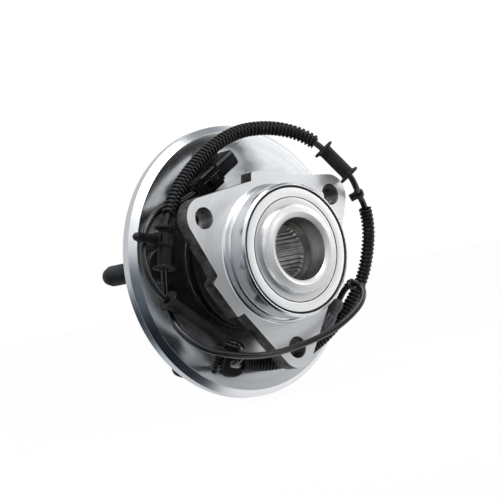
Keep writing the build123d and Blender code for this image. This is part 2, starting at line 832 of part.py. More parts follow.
band_place = 19.6
band_width = 8.0
band_thickness = 1.3
left_clip_direction = (-28.1, -3.9, 6.6)
left_clip_reach = 8.4
band_axis = (Vector(*left_spool_run[1]) - Vector(*left_spool_run[0])).normalized()
band_centre = Vector(*left_spool_run[0]) + band_axis * band_place
left_clip_axis = Vector(*left_clip_direction).normalized()

with BuildPart() as left_push_clip:
    with BuildSketch(Plane(origin=band_centre, x_dir=left_clip_axis, z_dir=band_axis)):
        Circle(spool_radius + band_thickness)
        with Locations(((spool_radius + left_clip_reach) / 2, 0)):
            Rectangle(left_clip_reach - spool_radius, 6.4)
        Circle(spool_radius, mode=Mode.SUBTRACT)
    extrude(amount=band_width / 2, both=True)
    fir_tree(band_centre + left_clip_axis * left_clip_reach, left_clip_direction, 9)
save(left_push_clip.part, "left_push_clip")

lower_clip_direction = (-14.7, -0.4, -21.0)
lower_clip_place = 3.2
lower_clip_reach = 8.2
bulb_axis = (Vector(*sleeve_start) - Vector(*sleeve_end)).normalized()
clip_centre = Vector(*sleeve_start) + bulb_axis * lower_clip_place
lower_clip_axis = Vector(*lower_clip_direction).normalized()
tongue_place = 3.4
tongue_length = 13.0

with BuildPart() as lower_push_clip:
    with BuildSketch(Plane(origin=clip_centre, x_dir=lower_clip_axis, z_dir=bulb_axis)):
        with Locations((lower_clip_reach - 1.2, 0)):
            Rectangle(2.4, 7.0)
    extrude(amount=3.6, both=True)
    with BuildSketch(Plane(origin=clip_centre + bulb_axis * tongue_place, x_dir=lower_clip_axis, z_dir=bulb_axis)):
        with Locations((lower_clip_reach - 2.4 + tongue_length / 2, 0)):
            Rectangle(tongue_length, 5.0)
    extrude(amount=1.2)
    with BuildSketch(Plane(origin=clip_centre + lower_clip_axis * (lower_clip_reach - 2.4), z_dir=lower_clip_axis)):
        Circle(stem_radius)
    extrude(amount=-2.0)
    fir_tree(clip_centre + lower_clip_axis * lower_clip_reach, lower_clip_direction, 7)
    with Locations(run_plane(sleeve_start, sleeve_end, 0)):
        Sphere(bulb_radius, mode=Mode.SUBTRACT)
save(lower_push_clip.part, "lower_push_clip")

# ---------------------------------------------------------------- cable ties

tie_inner = cable_radius + 0.3
tie_band = 1.1
tie_width = 3.4
tie_head = 4.2


def tie(start, end, share, head_direction):
    """A nylon tie round the cable with its locking head on one side."""
    along = (Vector(*end) - Vector(*start)).normalized()
    head = Vector(*head_direction)
    across = head - along * head.dot(along)
    with BuildSketch(Plane(origin=between(start, end, share), x_dir=across, z_dir=along)) as outline:
        Circle(tie_inner + tie_band)
        with Locations((tie_inner + tie_head / 2, 0)):
            Rectangle(tie_head, 4.6)
        Circle(tie_inner, mode=Mode.SUBTRACT)
    extrude(outline.sketch, amount=tie_width / 2, both=True)


with BuildPart() as cable_ties:
    tie(sensor_loop[2], sensor_loop[3], 0.5, (-0.93, -0.336, -0.141))
    tie(right_gap[0], right_gap[1], 0.85, (-0.735, 0.594, -0.327))
save(cable_ties.part, "cable_ties")

# ---------------------------------------------------------------- connector
# Two-way sealed connector: a body with an open shroud, a rear seal, two blades and a
# slide that locks the mating half.

connector_depth = 11.0
connector_width = 12.0
body_length = 19.0
shroud_depth = 13.0
shroud_width = 14.5
shroud_length = 18.7
shroud_wall = 1.4
cavity_length = 13.7
seal_radius = 4.4
seal_length = 7.0
seal_tail = 2.5
blade_width = 2.4
blade_thickness = 0.8
blade_pitch = 5.0
blade_reach = 9.0
slide_width = 6.6
slide_thickness = 1.3
slide_start = 7.0
slide_length = 8.5
slide_gap = 0.08
rail_width = 1.2
rail_lip = 0.6
connector_length = body_length + shroud_length
connector_axis = Vector(*connector_direction).normalized()
body_face = -connector_depth / 2


def connector_plane(along):
    """Plane across the connector: its X runs along +Y, towards the wheel flange."""
    return Plane(origin=Vector(*connector_entry) + connector_axis * along, x_dir=(0, 1, 0), z_dir=connector_axis)


rail_height = slide_thickness + 2 * slide_gap
with BuildPart() as connector_housing:
    with BuildSketch(connector_plane(0)):
        RectangleRounded(connector_depth, connector_width, 1.4)
    extrude(amount=body_length)
    with BuildSketch(connector_plane(body_length)):
        RectangleRounded(shroud_depth, shroud_width, 2.6)
    extrude(amount=shroud_length)
    with BuildSketch(connector_plane(connector_length - cavity_length)):
        RectangleRounded(shroud_depth - 2 * shroud_wall, shroud_width - 2 * shroud_wall, 1.4)
    extrude(amount=cavity_length, mode=Mode.SUBTRACT)
    for side in (-1, 1):
        # rail with a lip that holds the slide down
        with BuildSketch(connector_plane(4.0)):
            with Locations((body_face - rail_height / 2, side * (slide_width / 2 + slide_gap + rail_width / 2))):
                Rectangle(rail_height, rail_width)
            with Locations((body_face - rail_height - 0.4, side * (slide_width / 2 + slide_gap + rail_width / 2 - 0.5))):
                Rectangle(0.8, rail_width + 1.0)
        extrude(amount=body_length - 4.0)
    with BuildSketch(connector_plane(0)):
        Circle(seal_radius)
    extrude(amount=seal_length, mode=Mode.SUBTRACT)
    with BuildSketch(connector_plane(seal_length)):
        with Locations((0, -blade_pitch / 2), (0, blade_pitch / 2)):
            Rectangle(blade_thickness, blade_width)
    extrude(amount=connector_length - seal_length - 1.0, mode=Mode.SUBTRACT)
save(connector_housing.part, "connector_housing")

with BuildPart() as connector_seal:
    with BuildSketch(connector_plane(-seal_tail)):
        Circle(seal_radius)
    extrude(amount=seal_length + seal_tail)
    with BuildSketch(connector_plane(-seal_tail)):
        Circle(cable_radius + 0.3)
    extrude(amount=seal_tail + 0.1, mode=Mode.SUBTRACT)
save(connector_seal.part, "connector_seal")

with BuildPart() as connector_terminals:
    with BuildSketch(connector_plane(seal_length)):
        with Locations((0, -blade_pitch / 2), (0, blade_pitch / 2)):
            Rectangle(blade_thickness, blade_width)
    extrude(amount=connector_length - cavity_length - seal_length + blade_reach)
save(connector_terminals.part, "connector_terminals")

with BuildPart() as connector_lock:
    with BuildSketch(connector_plane(slide_start)):
        with Locations((body_face - slide_gap - slide_thickness / 2, 0)):
            Rectangle(slide_thickness, slide_width)
    extrude(amount=slide_length)
    with BuildSketch(connector_plane(slide_start)):
        with Locations((body_face - slide_gap - slide_thickness - 0.6, 0)):
            Rectangle(1.6, slide_width - 2 * rail_lip - 0.8)
    extrude(amount=2.4)
save(connector_lock.part, "connector_lock")
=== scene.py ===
import bpy
from math import asin, atan2, cos, degrees, floor, pi, radians, sin, sqrt
from mathutils import Matrix, Vector


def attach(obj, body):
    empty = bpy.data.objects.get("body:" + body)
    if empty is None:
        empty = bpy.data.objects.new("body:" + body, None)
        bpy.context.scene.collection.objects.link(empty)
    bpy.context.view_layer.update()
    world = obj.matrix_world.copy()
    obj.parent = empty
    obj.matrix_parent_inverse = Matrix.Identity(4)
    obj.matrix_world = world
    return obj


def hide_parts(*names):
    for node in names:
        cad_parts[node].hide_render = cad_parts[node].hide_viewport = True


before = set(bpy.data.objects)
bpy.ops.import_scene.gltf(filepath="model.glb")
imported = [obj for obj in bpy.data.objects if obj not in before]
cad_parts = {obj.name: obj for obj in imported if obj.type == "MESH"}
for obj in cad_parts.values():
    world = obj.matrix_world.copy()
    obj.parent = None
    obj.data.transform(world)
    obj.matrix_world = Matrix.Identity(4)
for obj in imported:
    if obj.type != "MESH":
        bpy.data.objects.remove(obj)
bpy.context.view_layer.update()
mm = 0.001

# ================================================================ camera and light tent
# A long lens looks past the bearing nose at the wheel flange. The unit stands on a white
# sweep in a white tent, with a soft box above it and dark flags that draw the metal.

camera_place = (-0.9469, -1.1426, 0.0057)
camera_heading, camera_roll = -38.96, -11.58
tent_fill = 0.50
sweep_width, sweep_height = 6.0, -0.0925
sweep_glow = 0.97
# black flags in the tent, seen only in reflections: direction, inner and outer angle, depth
flags = [
    ((-0.36, -0.50, -0.79), 26.0, 41.0, 0.98),
    ((-0.72, -0.62, -0.20), 14.0, 36.0, 0.88),
    ((0.30, -0.95, -0.06), 15.0, 25.5, 0.97),
    ((-0.52, 0.77, -0.38), 8.0, 24.0, 0.93),
    ((-0.98, 0.05, -0.15), 8.0, 40.0, 0.50),
    ((0.50, -0.08, 0.86), 8.0, 24.0, 0.75),
    ((-0.10, 1.0, -0.05), 40.0, 78.0, 0.32),
]

camera = bpy.data.objects.new("camera", bpy.data.cameras.new("camera"))
bpy.context.scene.collection.objects.link(camera)
camera.data.lens = 161.7
camera.data.sensor_width = 36.0
camera.matrix_world = (
    Matrix.Translation(camera_place)
    @ Matrix.Rotation(radians(camera_heading), 4, "Z")
    @ Matrix.Rotation(radians(90.0), 4, "X")
    @ Matrix.Rotation(radians(camera_roll), 4, "Z")
)
bpy.context.scene.camera = camera
bpy.context.scene.view_settings.view_transform = "Standard"


def arithmetic(tree, operation, first, second=None):
    """One Math node; each side is a socket or a number."""
    node = tree.nodes.new("ShaderNodeMath")
    node.operation = operation
    for slot, value in zip(node.inputs, (first, second)):
        if isinstance(value, (int, float)):
            slot.default_value = value
        elif value is not None:
            tree.links.new(value, slot)
    return node.outputs[0]


def looked_at(tree, rays):
    """One for what is seen straight, in a reflection or through a clear part, and nought for its light."""
    seen = arithmetic(tree, "MAXIMUM", rays.outputs["Is Camera Ray"], rays.outputs["Is Glossy Ray"])
    return arithmetic(tree, "MAXIMUM", seen, rays.outputs["Is Transmission Ray"])


world = bpy.data.worlds.new("white tent")
bpy.context.scene.world = world
world.use_nodes = True
tent = world.node_tree
tent.nodes.clear()
rays = tent.nodes.new("ShaderNodeLightPath")
strength = tent.nodes.new("ShaderNodeMapRange")
strength.inputs["To Min"].default_value = tent_fill
strength.inputs["To Max"].default_value = 1.0
tent.links.new(looked_at(tent, rays), strength.inputs["Value"])
heading = tent.nodes.new("ShaderNodeTexCoord")
open_share = 1.0
for direction, inner, outer, depth in flags:
    facing = tent.nodes.new("ShaderNodeVectorMath")
    facing.operation = "DOT_PRODUCT"
    facing.inputs[1].default_value = Vector(direction).normalized()
    tent.links.new(heading.outputs["Generated"], facing.inputs[0])
    fall = tent.nodes.new("ShaderNodeMapRange")
    fall.interpolation_type = "SMOOTHSTEP"
    fall.inputs["From Min"].default_value = cos(radians(outer))
    fall.inputs["From Max"].default_value = cos(radians(inner))
    fall.inputs["To Min"].default_value = 1.0
    fall.inputs["To Max"].default_value = 1.0 - depth
    tent.links.new(facing.outputs["Value"], fall.inputs["Value"])
    open_share = arithmetic(tent, "MULTIPLY", open_share, fall.outputs[0])
# a half-covered part of the tent looks cooler than the open part
cool = tent.nodes.new("ShaderNodeCombineColor")
for channel, power in (("Red", 1.10), ("Green", 1.0), ("Blue", 0.92)):
    tent.links.new(arithmetic(tent, "POWER", open_share, power), cool.inputs[channel])
reflected = tent.nodes.new("ShaderNodeMix")
reflected.data_type = "RGBA"
reflected.inputs["A"].default_value = (1.0, 1.0, 1.0, 1.0)
tent.links.new(rays.outputs["Is Glossy Ray"], reflected.inputs["Factor"])
tent.links.new(cool.outputs[0], reflected.inputs["B"])
white = tent.nodes.new("ShaderNodeBackground")
tent.links.new(reflected.outputs["Result"], white.inputs["Color"])
tent.links.new(strength.outputs[0], white.inputs["Strength"])
tent_output = tent.nodes.new("ShaderNodeOutputWorld")
tent.links.new(white.outputs[0], tent_output.inputs["Surface"])


def deselect():
    bpy.ops.object.select_all(action="DESELECT")


def soft_box(name, place, width, height, watts):
    """A rectangular lamp that points at the origin."""
    lamp = bpy.data.lights.new(name, "AREA")
    lamp.shape = "RECTANGLE"
    lamp.size = width
    lamp.size_y = height
    lamp.energy = watts
    box = bpy.data.objects.new(name, lamp)
    bpy.context.scene.collection.objects.link(box)
    aim = (-Vector(place)).to_track_quat("-Z", "Y")
    box.matrix_world = Matrix.Translation(place) @ aim.to_matrix().to_4x4()


soft_box("top box", (-0.15, -0.25, 0.75), 0.6, 0.5, 4.6)
soft_box("right box", (0.80, -0.45, 0.25), 0.4, 0.5, 2.2)

deselect()
bpy.ops.mesh.primitive_grid_add(
    x_subdivisions=8, y_subdivisions=8, size=sweep_width, location=(0.0, 0.0, sweep_height)
)
sweep = bpy.context.object
sweep.name = "white floor"
bpy.ops.object.transform_apply()
paper = bpy.data.materials.new("white paper")
paper.use_nodes = True
sheet = paper.node_tree
sheet.nodes.clear()
matt = sheet.nodes.new("ShaderNodeBsdfDiffuse")
matt.inputs["Color"].default_value = (0.92, 0.92, 0.92, 1.0)
glow = sheet.nodes.new("ShaderNodeEmission")
glow.inputs["Strength"].default_value = 1.0
sweep_rays = sheet.nodes.new("ShaderNodeLightPath")
lit_share = arithmetic(sheet, "MULTIPLY", looked_at(sheet, sweep_rays), sweep_glow)
lit = sheet.nodes.new("ShaderNodeMixShader")
sheet.links.new(lit_share, lit.inputs["Fac"])
sheet.links.new(matt.outputs[0], lit.inputs[1])
sheet.links.new(glow.outputs[0], lit.inputs[2])
sheet_output = sheet.nodes.new("ShaderNodeOutputMaterial")
sheet.links.new(lit.outputs[0], sheet_output.inputs["Surface"])
sweep.data.materials.append(paper)
sweep.visible_glossy = False

# ================================================================ sensor cable
# Two cores in a smooth black jacket, extruded in one length. It starts in the sensor
# boot, is looped once round the hub for packing and ends in the connector seal.

cable_radius = 2.1
cable_stops = [
    (51.6, 8.7, -39.5), (54.0, 6.5, -35.0), (56.0, 2.0, -31.2), (57.8, -3.5, -30.0), (58.3, -8.5, -32.5),
    (56.0, -12.5, -38.0), (50.4, -14.0, -44.3), (40.6, -13.5, -50.3), (28.0, -12.0, -56.0),
    (12.5, -10.0, -60.0), (-7.0, -8.0, -62.6), (-26.5, -8.0, -63.6), (-47.0, -8.0, -61.6),
    (-64.6, -5.0, -56.6),
    (-77.2, 0.0, -50.2), (-83.0, 6.5, -41.8), (-85.0, 14.0, -32.0), (-82.5, 20.6, -22.3),
    (-81.6, 21.8, -12.5),
    (-83.2, 18.2, -4.0),
    (-83.6, 15.2, 4.0), (-81.1, 15.1, 12.2), (-78.7, 15.1, 20.0), (-74.8, 15.0, 33.0),
    (-67.5, 15.3, 44.5), (-58.0, 16.2, 55.0), (-43.5, 17.0, 65.8), (-24.3, 18.0, 77.0), (-1.0, 17.8, 84.8),
    (19.5, 15.0, 84.9), (37.0, 10.8, 80.6), (48.5, 4.5, 73.0),
    (55.4, -0.8, 63.7), (61.1, -5.0, 53.1), (64.2, -7.3, 47.4), (67.7, -9.9, 40.9),
    (71.3, -8.7, 34.0), (78.0, -3.0, 27.3),
    (83.8, 0.0, 19.0), (86.0, 3.0, 4.0), (83.0, 5.5, -11.5), (76.8, 9.0, -28.5), (65.6, 13.0, -43.2),
    (52.7, 17.0, -55.0), (38.6, 20.5, -63.9), (23.0, 23.3, -70.1), (5.3, 25.0, -72.6), (-11.5, 26.0, -71.0),
    (-26.0, 25.5, -68.0),
    (-37.7, 20.0, -66.7), (-46.2, 14.7, -64.9), (-47.0, 4.4, -63.4), (-44.2, 1.9, -57.6), (-41.7, 6.7, -53.5),
    (-43.6, 10.9, -51.9),
    (-52.0, 13.0, -46.3), (-59.8, 13.0, -39.5), (-81.7, 13.0, -20.4), (-88.5, 13.0, -14.5),
    (-94.1, 13.2, -7.5), (-97.3, 14.1, 1.0), (-97.7, 15.4, 10.0), (-95.3, 17.9, 19.0), (-90.6, 19.9, 27.9),
    (-84.5, 20.7, 35.8), (-75.4, 22.3, 41.8), (-63.7, 24.3, 44.4), (-49.1, 24.1, 45.5),
    (-36.5, 24.0, 51.3),
]


def lay_spline(name, stops):
    """A curve object of one open spline through its control points, given in millimetres."""
    curve = bpy.data.curves.new(name, "CURVE")
    curve.dimensions = "3D"
    spline = curve.splines.new("NURBS")
    spline.points.add(len(stops) - 1)
    for point, stop in zip(spline.points, stops):
        point.co = (stop[0] * mm, stop[1] * mm, stop[2] * mm, 1.0)
    spline.order_u = 3
    spline.use_endpoint_u = True
    spline.resolution_u = 16
    laid = bpy.data.objects.new(name, curve)
    bpy.context.scene.collection.objects.link(laid)
    return laid


sensor_cable = lay_spline("cable_jacket", cable_stops)
bare_line = bpy.data.meshes.new_from_object(sensor_cable)
line_points = [point.co.copy() for point in bare_line.vertices]
bpy.data.meshes.remove(bare_line)
sensor_cable.data.bevel_depth = cable_radius * mm
sensor_cable.data.bevel_resolution = 7
sensor_cable.data.use_fill_caps = True

# ================================================================ bearing housing
# The outer ring of the bearing, forged in bearing steel with a three-lobed plate. The
# pilot, the knuckle seat and both raceways are turned and ground; the rest keeps its
# dark forging skin, and the body behind the plate gets a darker copy of it as painted shade.

plate_thickness = 11.0
plate_flat = 50.0
land_height = 5.8
land_start, land_end = -8.8, 19.6
hole_circle = 63.5
knuckle_hole_radius = 7.25
lobe_radius = 13.75
lobe_angles = (30.0, 150.0, 270.0)
lobe_thickness = 15.0
body_radius = 49.8
body_end = 33.0
plate_bore = 46.3
pilot_radius = 44.45
pilot_end = -19.4
rib_thickness = 15.0
pitch_radius = 36.0
inboard_row, outboard_row = -3.8, 21.2
groove_radius = 6.19
groove_offset = 5.983 - groove_radius
low_shoulder, high_shoulder = 40.6, 37.4
sensor_angle = -59.5
sensor_axis = 8.7
sensor_seat = 56.5
pad_centre = (53.2, 13.9, 0.0)
pad_size = (9.0, 25.2, 25.4)
spot_face_size = (10.0, 22.6, 17.4)


def edit(piece, select="DESELECT"):
    """Open one object in edit mode with all or none of its mesh selected."""
    if bpy.context.object and bpy.context.object.mode == "EDIT":
        bpy.ops.object.mode_set(mode="OBJECT")
    deselect()
    piece.select_set(True)
    bpy.context.view_layer.objects.active = piece
    bpy.ops.object.mode_set(mode="EDIT")
    bpy.ops.mesh.select_all(action=select)


def close():
    """Leave edit mode."""
    bpy.ops.object.mode_set(mode="OBJECT")


def use(piece):
    """Make one object the only selected and active one."""
    deselect()
    piece.select_set(True)
    bpy.context.view_layer.objects.active = piece


def settle(piece, name):
    """Name an object and put its place into its mesh."""
    use(piece)
    bpy.ops.object.transform_apply()
    piece.name = name
    piece.data.name = name
    return piece


def draw_out(name, corners, sides, centre=(0.0, 0.0)):
    """Extrude a circle about an axis along Y through (radius, y) corners, and leave it in edit mode."""
    middle = (centre[0] * mm, 0.0, centre[1] * mm)
    radius, y = corners[0]
    deselect()
    bpy.ops.mesh.primitive_circle_add(
        vertices=sides, radius=radius * mm,
        location=(middle[0], y * mm, middle[2]), rotation=(pi / 2, 0.0, 0.0),
    )
    drawn = settle(bpy.context.object, name)
    edit(drawn, "SELECT")
    for next_radius, next_y in corners[1:]:
        bpy.ops.mesh.extrude_edges_move(TRANSFORM_OT_translate={"value": (0.0, (next_y - y) * mm, 0.0)})
        growth = next_radius / radius
        bpy.ops.transform.resize(value=(growth, 1.0, growth), center_override=middle)
        radius, y = next_radius, next_y
    return drawn


def turn(name, corners, sides=256):
    """Turn a closed ring about the Y axis from (radius, y) corners in millimetres."""
    ring = draw_out(name, corners + corners[:1], sides)
    bpy.ops.mesh.select_all(action="SELECT")
    bpy.ops.mesh.remove_doubles(threshold=0.000002)
    bpy.ops.mesh.normals_make_consistent(inside=False)
    close()
    return ring


def arc(centre_radius, centre_y, radius, start, end, steps=10):
    """Corners along an arc of a turned outline; 0 degrees points outwards and 90 along +Y."""
    turns = [radians(start + (end - start) * i / steps) for i in range(steps + 1)]
    return [(centre_radius + radius * cos(t), centre_y + radius * sin(t)) for t in turns]


def smooth(piece, angle):
    """Shade a piece smooth, except across edges that are sharper than an angle."""
    use(piece)
    bpy.ops.object.shade_smooth_by_angle(angle=radians(angle))


def keep_flat(piece):
    """Shade a piece smooth with its large faces flat."""
    smooth(piece, 32.0)
    flatness = piece.modifiers.new("flat faces", "WEIGHTED_NORMAL")
    flatness.keep_sharp = True
    bpy.ops.object.modifier_apply(modifier=flatness.name)


def break_edges(piece, width, angle=28.0, segments=2):
    """Round every sharp edge a little, as a deburred or moulded part has, and keep flat faces flat."""
    use(piece)
    rounding = piece.modifiers.new("broken edges", "BEVEL")
    rounding.width = width * mm
    rounding.segments = segments
    rounding.limit_method = "ANGLE"
    rounding.angle_limit = radians(angle)
    rounding.use_clamp_overlap = True
    bpy.ops.object.modifier_apply(modifier=rounding.name)
    keep_flat(piece)


def cut(piece, tool, operation="DIFFERENCE"):
    """Cut one solid with another, or weld it on, and remove the tool."""
    use(piece)
    carve = piece.modifiers.new("cut", "BOOLEAN")
    carve.operation = operation
    carve.solver = "EXACT"
    carve.object = tool
    bpy.ops.object.modifier_apply(modifier=carve.name)
    bpy.data.objects.remove(tool)


def join(name, *pieces):
    """Join meshes into one object."""
    deselect()
    for piece in pieces:
        piece.select_set(True)
    bpy.context.view_layer.objects.active = pieces[0]
    bpy.ops.object.join()
    return settle(bpy.context.object, name)


def rod(radius, start, end, place, sides=64, name="rod"):
    """A solid bar along Y from start to end at an (x, z) place."""
    deselect()
    bpy.ops.mesh.primitive_cylinder_add(
        vertices=sides, radius=radius * mm, depth=(end - start) * mm,
        location=(place[0] * mm, 0.5 * (start + end) * mm, place[1] * mm), rotation=(pi / 2, 0.0, 0.0),
    )
    return settle(bpy.context.object, name)


def hull(name, *bars):
    """One convex solid round several bars, with its flat faces whole."""
    solid = join(name, *bars)
    edit(solid, "SELECT")
    bpy.ops.mesh.convex_hull()
    bpy.ops.mesh.select_all(action="SELECT")
    bpy.ops.mesh.dissolve_limited(angle_limit=radians(0.8))
    bpy.ops.mesh.select_all(action="SELECT")
    bpy.ops.mesh.normals_make_consistent(inside=False)
    close()
    return solid


def turned(place, angle):
    """An (x, z) place turned about the spindle axis."""
    c, s = cos(radians(angle)), sin(radians(angle))
    return (place[0] * c - place[1] * s, place[0] * s + place[1] * c)


def bevel_sharp(piece, width, segments, wanted):
    """Bevel the sharp edges whose two ends both pass a test of their place in millimetres."""
    edit(piece)
    bpy.ops.mesh.select_mode(type="EDGE")
    bpy.ops.mesh.edges_select_sharp(sharpness=radians(35.0))
    close()
    for edge in piece.data.edges:
        if edge.select:
            ends = [piece.data.vertices[i].co / mm for i in edge.vertices]
            edge.select = wanted(ends[0]) and wanted(ends[1])
    for vertex in piece.data.vertices:
        vertex.select = False
    for face in piece.data.polygons:
        face.select = False
    for edge in piece.data.edges:
        if edge.select:
            for i in edge.vertices:
                piece.data.vertices[i].select = True
    bpy.ops.object.mode_set(mode="EDIT")
    bpy.ops.mesh.bevel(offset=width * mm, segments=segments, affect="EDGES", clamp_overlap=True)
    close()


def groove_rise(middle, shoulder):
    """The angle at which a raceway groove runs out at a shoulder."""
    return degrees(asin(sqrt(groove_radius**2 - (shoulder - middle) ** 2) / groove_radius))


groove_middle = pitch_radius + groove_offset
low_rise, high_rise = groove_rise(groove_middle, low_shoulder), groove_rise(groove_middle, high_shoulder)
# the lathe work: pilot, grooves, seat fillet, both raceways and the inside of the body
lathe_work = turn("housing_lathe_work", [
    (42.6, -12.0), (42.6, pilot_end), (pilot_radius - 1.35, pilot_end), (pilot_radius - 0.05, -18.1),
    (pilot_radius, -17.6), (pilot_radius, -8.2), (43.9, -7.6), (43.9, -5.6), (45.05, -4.8), (45.05, -1.9),
    (45.4, -1.2), (46.0, -0.5), (47.0, 0.02), (48.6, 0.5), (49.2, 1.2), (49.2, 9.0), (48.0, 10.2),
    (48.0, body_end - 9.0), (46.0, body_end - 0.05), (44.5, body_end), (44.5, 28.8), (low_shoulder, 28.8),
] + arc(groove_middle, outboard_row, groove_radius, low_rise, -high_rise, 14)
  + arc(groove_middle, inboard_row, groove_radius, high_rise, -low_rise, 14) + [(low_shoulder, -12.0)])
break_edges(lathe_work, 0.14)

# the plate: three lobes and two raised lands, bored for the lathe work and the bolts
bolt_places = [turned((hole_circle, 0.0), angle) for angle in lobe_angles]
bars = [rod(lobe_radius, 0.0, plate_thickness, place, 96) for place in bolt_places]
for turn_back in (0.0, -120.0, -240.0):
    for corner in ((land_start - 1.4, plate_flat - 1.5), (land_end + 1.2, plate_flat - 1.9)):
        bars.append(rod(1.5, 0.0, plate_thickness, turned(corner, turn_back), 24))
plate = hull("plate", *bars)
top = plate_flat + land_height
for turn_back in (0.0, -240.0):
    bars = [
        rod(1.6, 0.0, plate_thickness, turned((land_start + 1.3, top - 1.6), turn_back), 24),
        rod(1.6, 0.0, plate_thickness, turned((land_end - 1.3, top - 1.6), turn_back), 24),
        rod(0.4, 0.0, plate_thickness, turned((land_start - 2.4, 45.0), turn_back), 12),
        rod(0.4, 0.0, plate_thickness, turned((land_end + 2.2, 45.0), turn_back), 12),
    ]
    cut(plate, hull("land", *bars), "UNION")
cut(plate, rod(plate_bore, -1.0, plate_thickness + 1.0, (0.0, 0.0), 256))
for place in bolt_places:
    cut(plate, rod(knuckle_hole_radius, -1.0, plate_thickness + 1.0, place, 72))
bevel_sharp(
    plate, 1.3, 4, lambda at: at.y > plate_thickness - 0.05 and sqrt(at.x**2 + at.z**2) > plate_bore + 1.7
)
bevel_sharp(plate, 0.32, 2, lambda at: at.y < 0.05)
keep_flat(plate)

# the forging behind it: body, a boss and a rib at each lobe, and the sensor pad
rough = [turn("forging", [
    (48.2, 1.2), (body_radius, 1.2), (body_radius, 26.0), (body_radius - 2.6, 32.7), (46.4, 32.7),
    (46.4, 14.0),
], 128)]
for angle in lobe_angles:
    rough.append(rod(lobe_radius - 0.5, 2.0, lobe_thickness, turned((hole_circle, 0.0), angle), 64))
    deselect()
    bpy.ops.mesh.primitive_cube_add(size=1.0)
    rib = bpy.context.object
    for vertex in rib.data.vertices:
        outer, behind, side = vertex.co.x > 0, vertex.co.y > 0, vertex.co.z > 0
        along = (body_radius + 3.6 if behind else hole_circle + 6.0) if outer else body_radius - 3.0
        depth = (lobe_thickness + 3.2 if outer else body_end - 7.0) if behind else 3.0
        vertex.co = Vector((along, depth, rib_thickness / 2 if side else -rib_thickness / 2)) * mm
    edit(rib, "SELECT")
    bpy.ops.mesh.normals_make_consistent(inside=False)
    close()
    rib.matrix_world = Matrix.Rotation(-radians(angle), 4, "Y")
    rough.append(settle(rib, "rib"))


def pad_block(name, middle, size):
    """A plain block squared to the sensor pad, its X axis along the sensor."""
    deselect()
    bpy.ops.mesh.primitive_cube_add(size=1.0)
    made = bpy.context.object
    made.matrix_world = (
        Matrix.Rotation(-radians(sensor_angle), 4, "Y") @ Matrix.Translation(Vector(middle) * mm)
        @ Matrix.Diagonal((*(Vector(size) * mm), 1.0))
    )
    return settle(made, name)


rough.append(pad_block("pad", pad_centre, pad_size))
forging = join("forging", *rough)
skin = forging.modifiers.new("forged skin", "REMESH")
skin.mode = "VOXEL"
skin.voxel_size = 1.0 * mm
bpy.ops.object.modifier_apply(modifier=skin.name)
relax = forging.modifiers.new("die radii", "SMOOTH")
relax.factor = 0.5
relax.iterations = 5
bpy.ops.object.modifier_apply(modifier=relax.name)
cut(forging, pad_block("spot face", (sensor_seat + 5.0, 14.7, 2.75), spot_face_size))
for place in bolt_places:
    cut(forging, rod(knuckle_hole_radius, -1.0, body_end + 1.0, place, 72))
smooth(forging, 35.0)


def new_group(name, inputs, outputs):
    """An empty shader node group with number inputs and outputs."""
    group = bpy.data.node_groups.new(name, "ShaderNodeTree")
    for label, value in inputs:
        group.interface.new_socket(label, in_out="INPUT", socket_type="NodeSocketFloat").default_value = value
    for label in outputs:
        group.interface.new_socket(label, in_out="OUTPUT", socket_type="NodeSocketFloat")
    return group, group.nodes.new("NodeGroupInput"), group.nodes.new("NodeGroupOutput")


# Fine rings left by the turning tool, about the spindle axis, and smears of oil.
lathe_marks, ends_in, ends_out = new_group(
    "lathe marks", [("Marks", 2600.0), ("Bands", 260.0)], ["Height", "Bands", "Smears"]
)
where = lathe_marks.nodes.new("ShaderNodeTexCoord")
split = lathe_marks.nodes.new("ShaderNodeSeparateXYZ")
lathe_marks.links.new(where.outputs["Object"], split.inputs[0])
across = arithmetic(lathe_marks, "MULTIPLY", split.outputs["X"], split.outputs["X"])
upward = arithmetic(lathe_marks, "MULTIPLY", split.outputs["Z"], split.outputs["Z"])
reach = arithmetic(lathe_marks, "SQRT", arithmetic(lathe_marks, "ADD", across, upward))
ring_place = lathe_marks.nodes.new("ShaderNodeCombineXYZ")
lathe_marks.links.new(reach, ring_place.inputs["X"])
lathe_marks.links.new(split.outputs["Y"], ring_place.inputs["Y"])
for label, socket, detail in (("Height", "Marks", 2.0), ("Bands", "Bands", 3.0)):
    rings = lathe_marks.nodes.new("ShaderNodeTexNoise")
    rings.inputs["Detail"].default_value = detail
    lathe_marks.links.new(ring_place.outputs[0], rings.inputs["Vector"])
    lathe_marks.links.new(ends_in.outputs[socket], rings.inputs["Scale"])
    lathe_marks.links.new(rings.outputs["Fac"], ends_out.inputs[label])
smears = lathe_marks.nodes.new("ShaderNodeTexNoise")
smears.inputs["Scale"].default_value = 55.0
smears.inputs["Detail"].default_value = 4.0
lathe_marks.links.new(where.outputs["Object"], smears.inputs["Vector"])
lathe_marks.links.new(smears.outputs["Fac"], ends_out.inputs["Smears"])

# Scale, pits and soft hollows of a forged or cast skin, or of a moulding at a finer size.
rough_skin, ends_in, ends_out = new_group(
    "rough skin", [("Grain", 900.0), ("Patches", 90.0)], ["Height", "Patches"]
)
where = rough_skin.nodes.new("ShaderNodeTexCoord")
grain = rough_skin.nodes.new("ShaderNodeTexNoise")
grain.inputs["Detail"].default_value = 5.0
grain.inputs["Roughness"].default_value = 0.65
rough_skin.links.new(where.outputs["Object"], grain.inputs["Vector"])
rough_skin.links.new(ends_in.outputs["Grain"], grain.inputs["Scale"])
pits = rough_skin.nodes.new("ShaderNodeTexVoronoi")
pits.feature = "SMOOTH_F1"
rough_skin.links.new(where.outputs["Object"], pits.inputs["Vector"])
rough_skin.links.new(arithmetic(rough_skin, "MULTIPLY", ends_in.outputs["Grain"], 0.6), pits.inputs["Scale"])
pit_height = arithmetic(rough_skin, "MULTIPLY", pits.outputs["Distance"], 0.5)
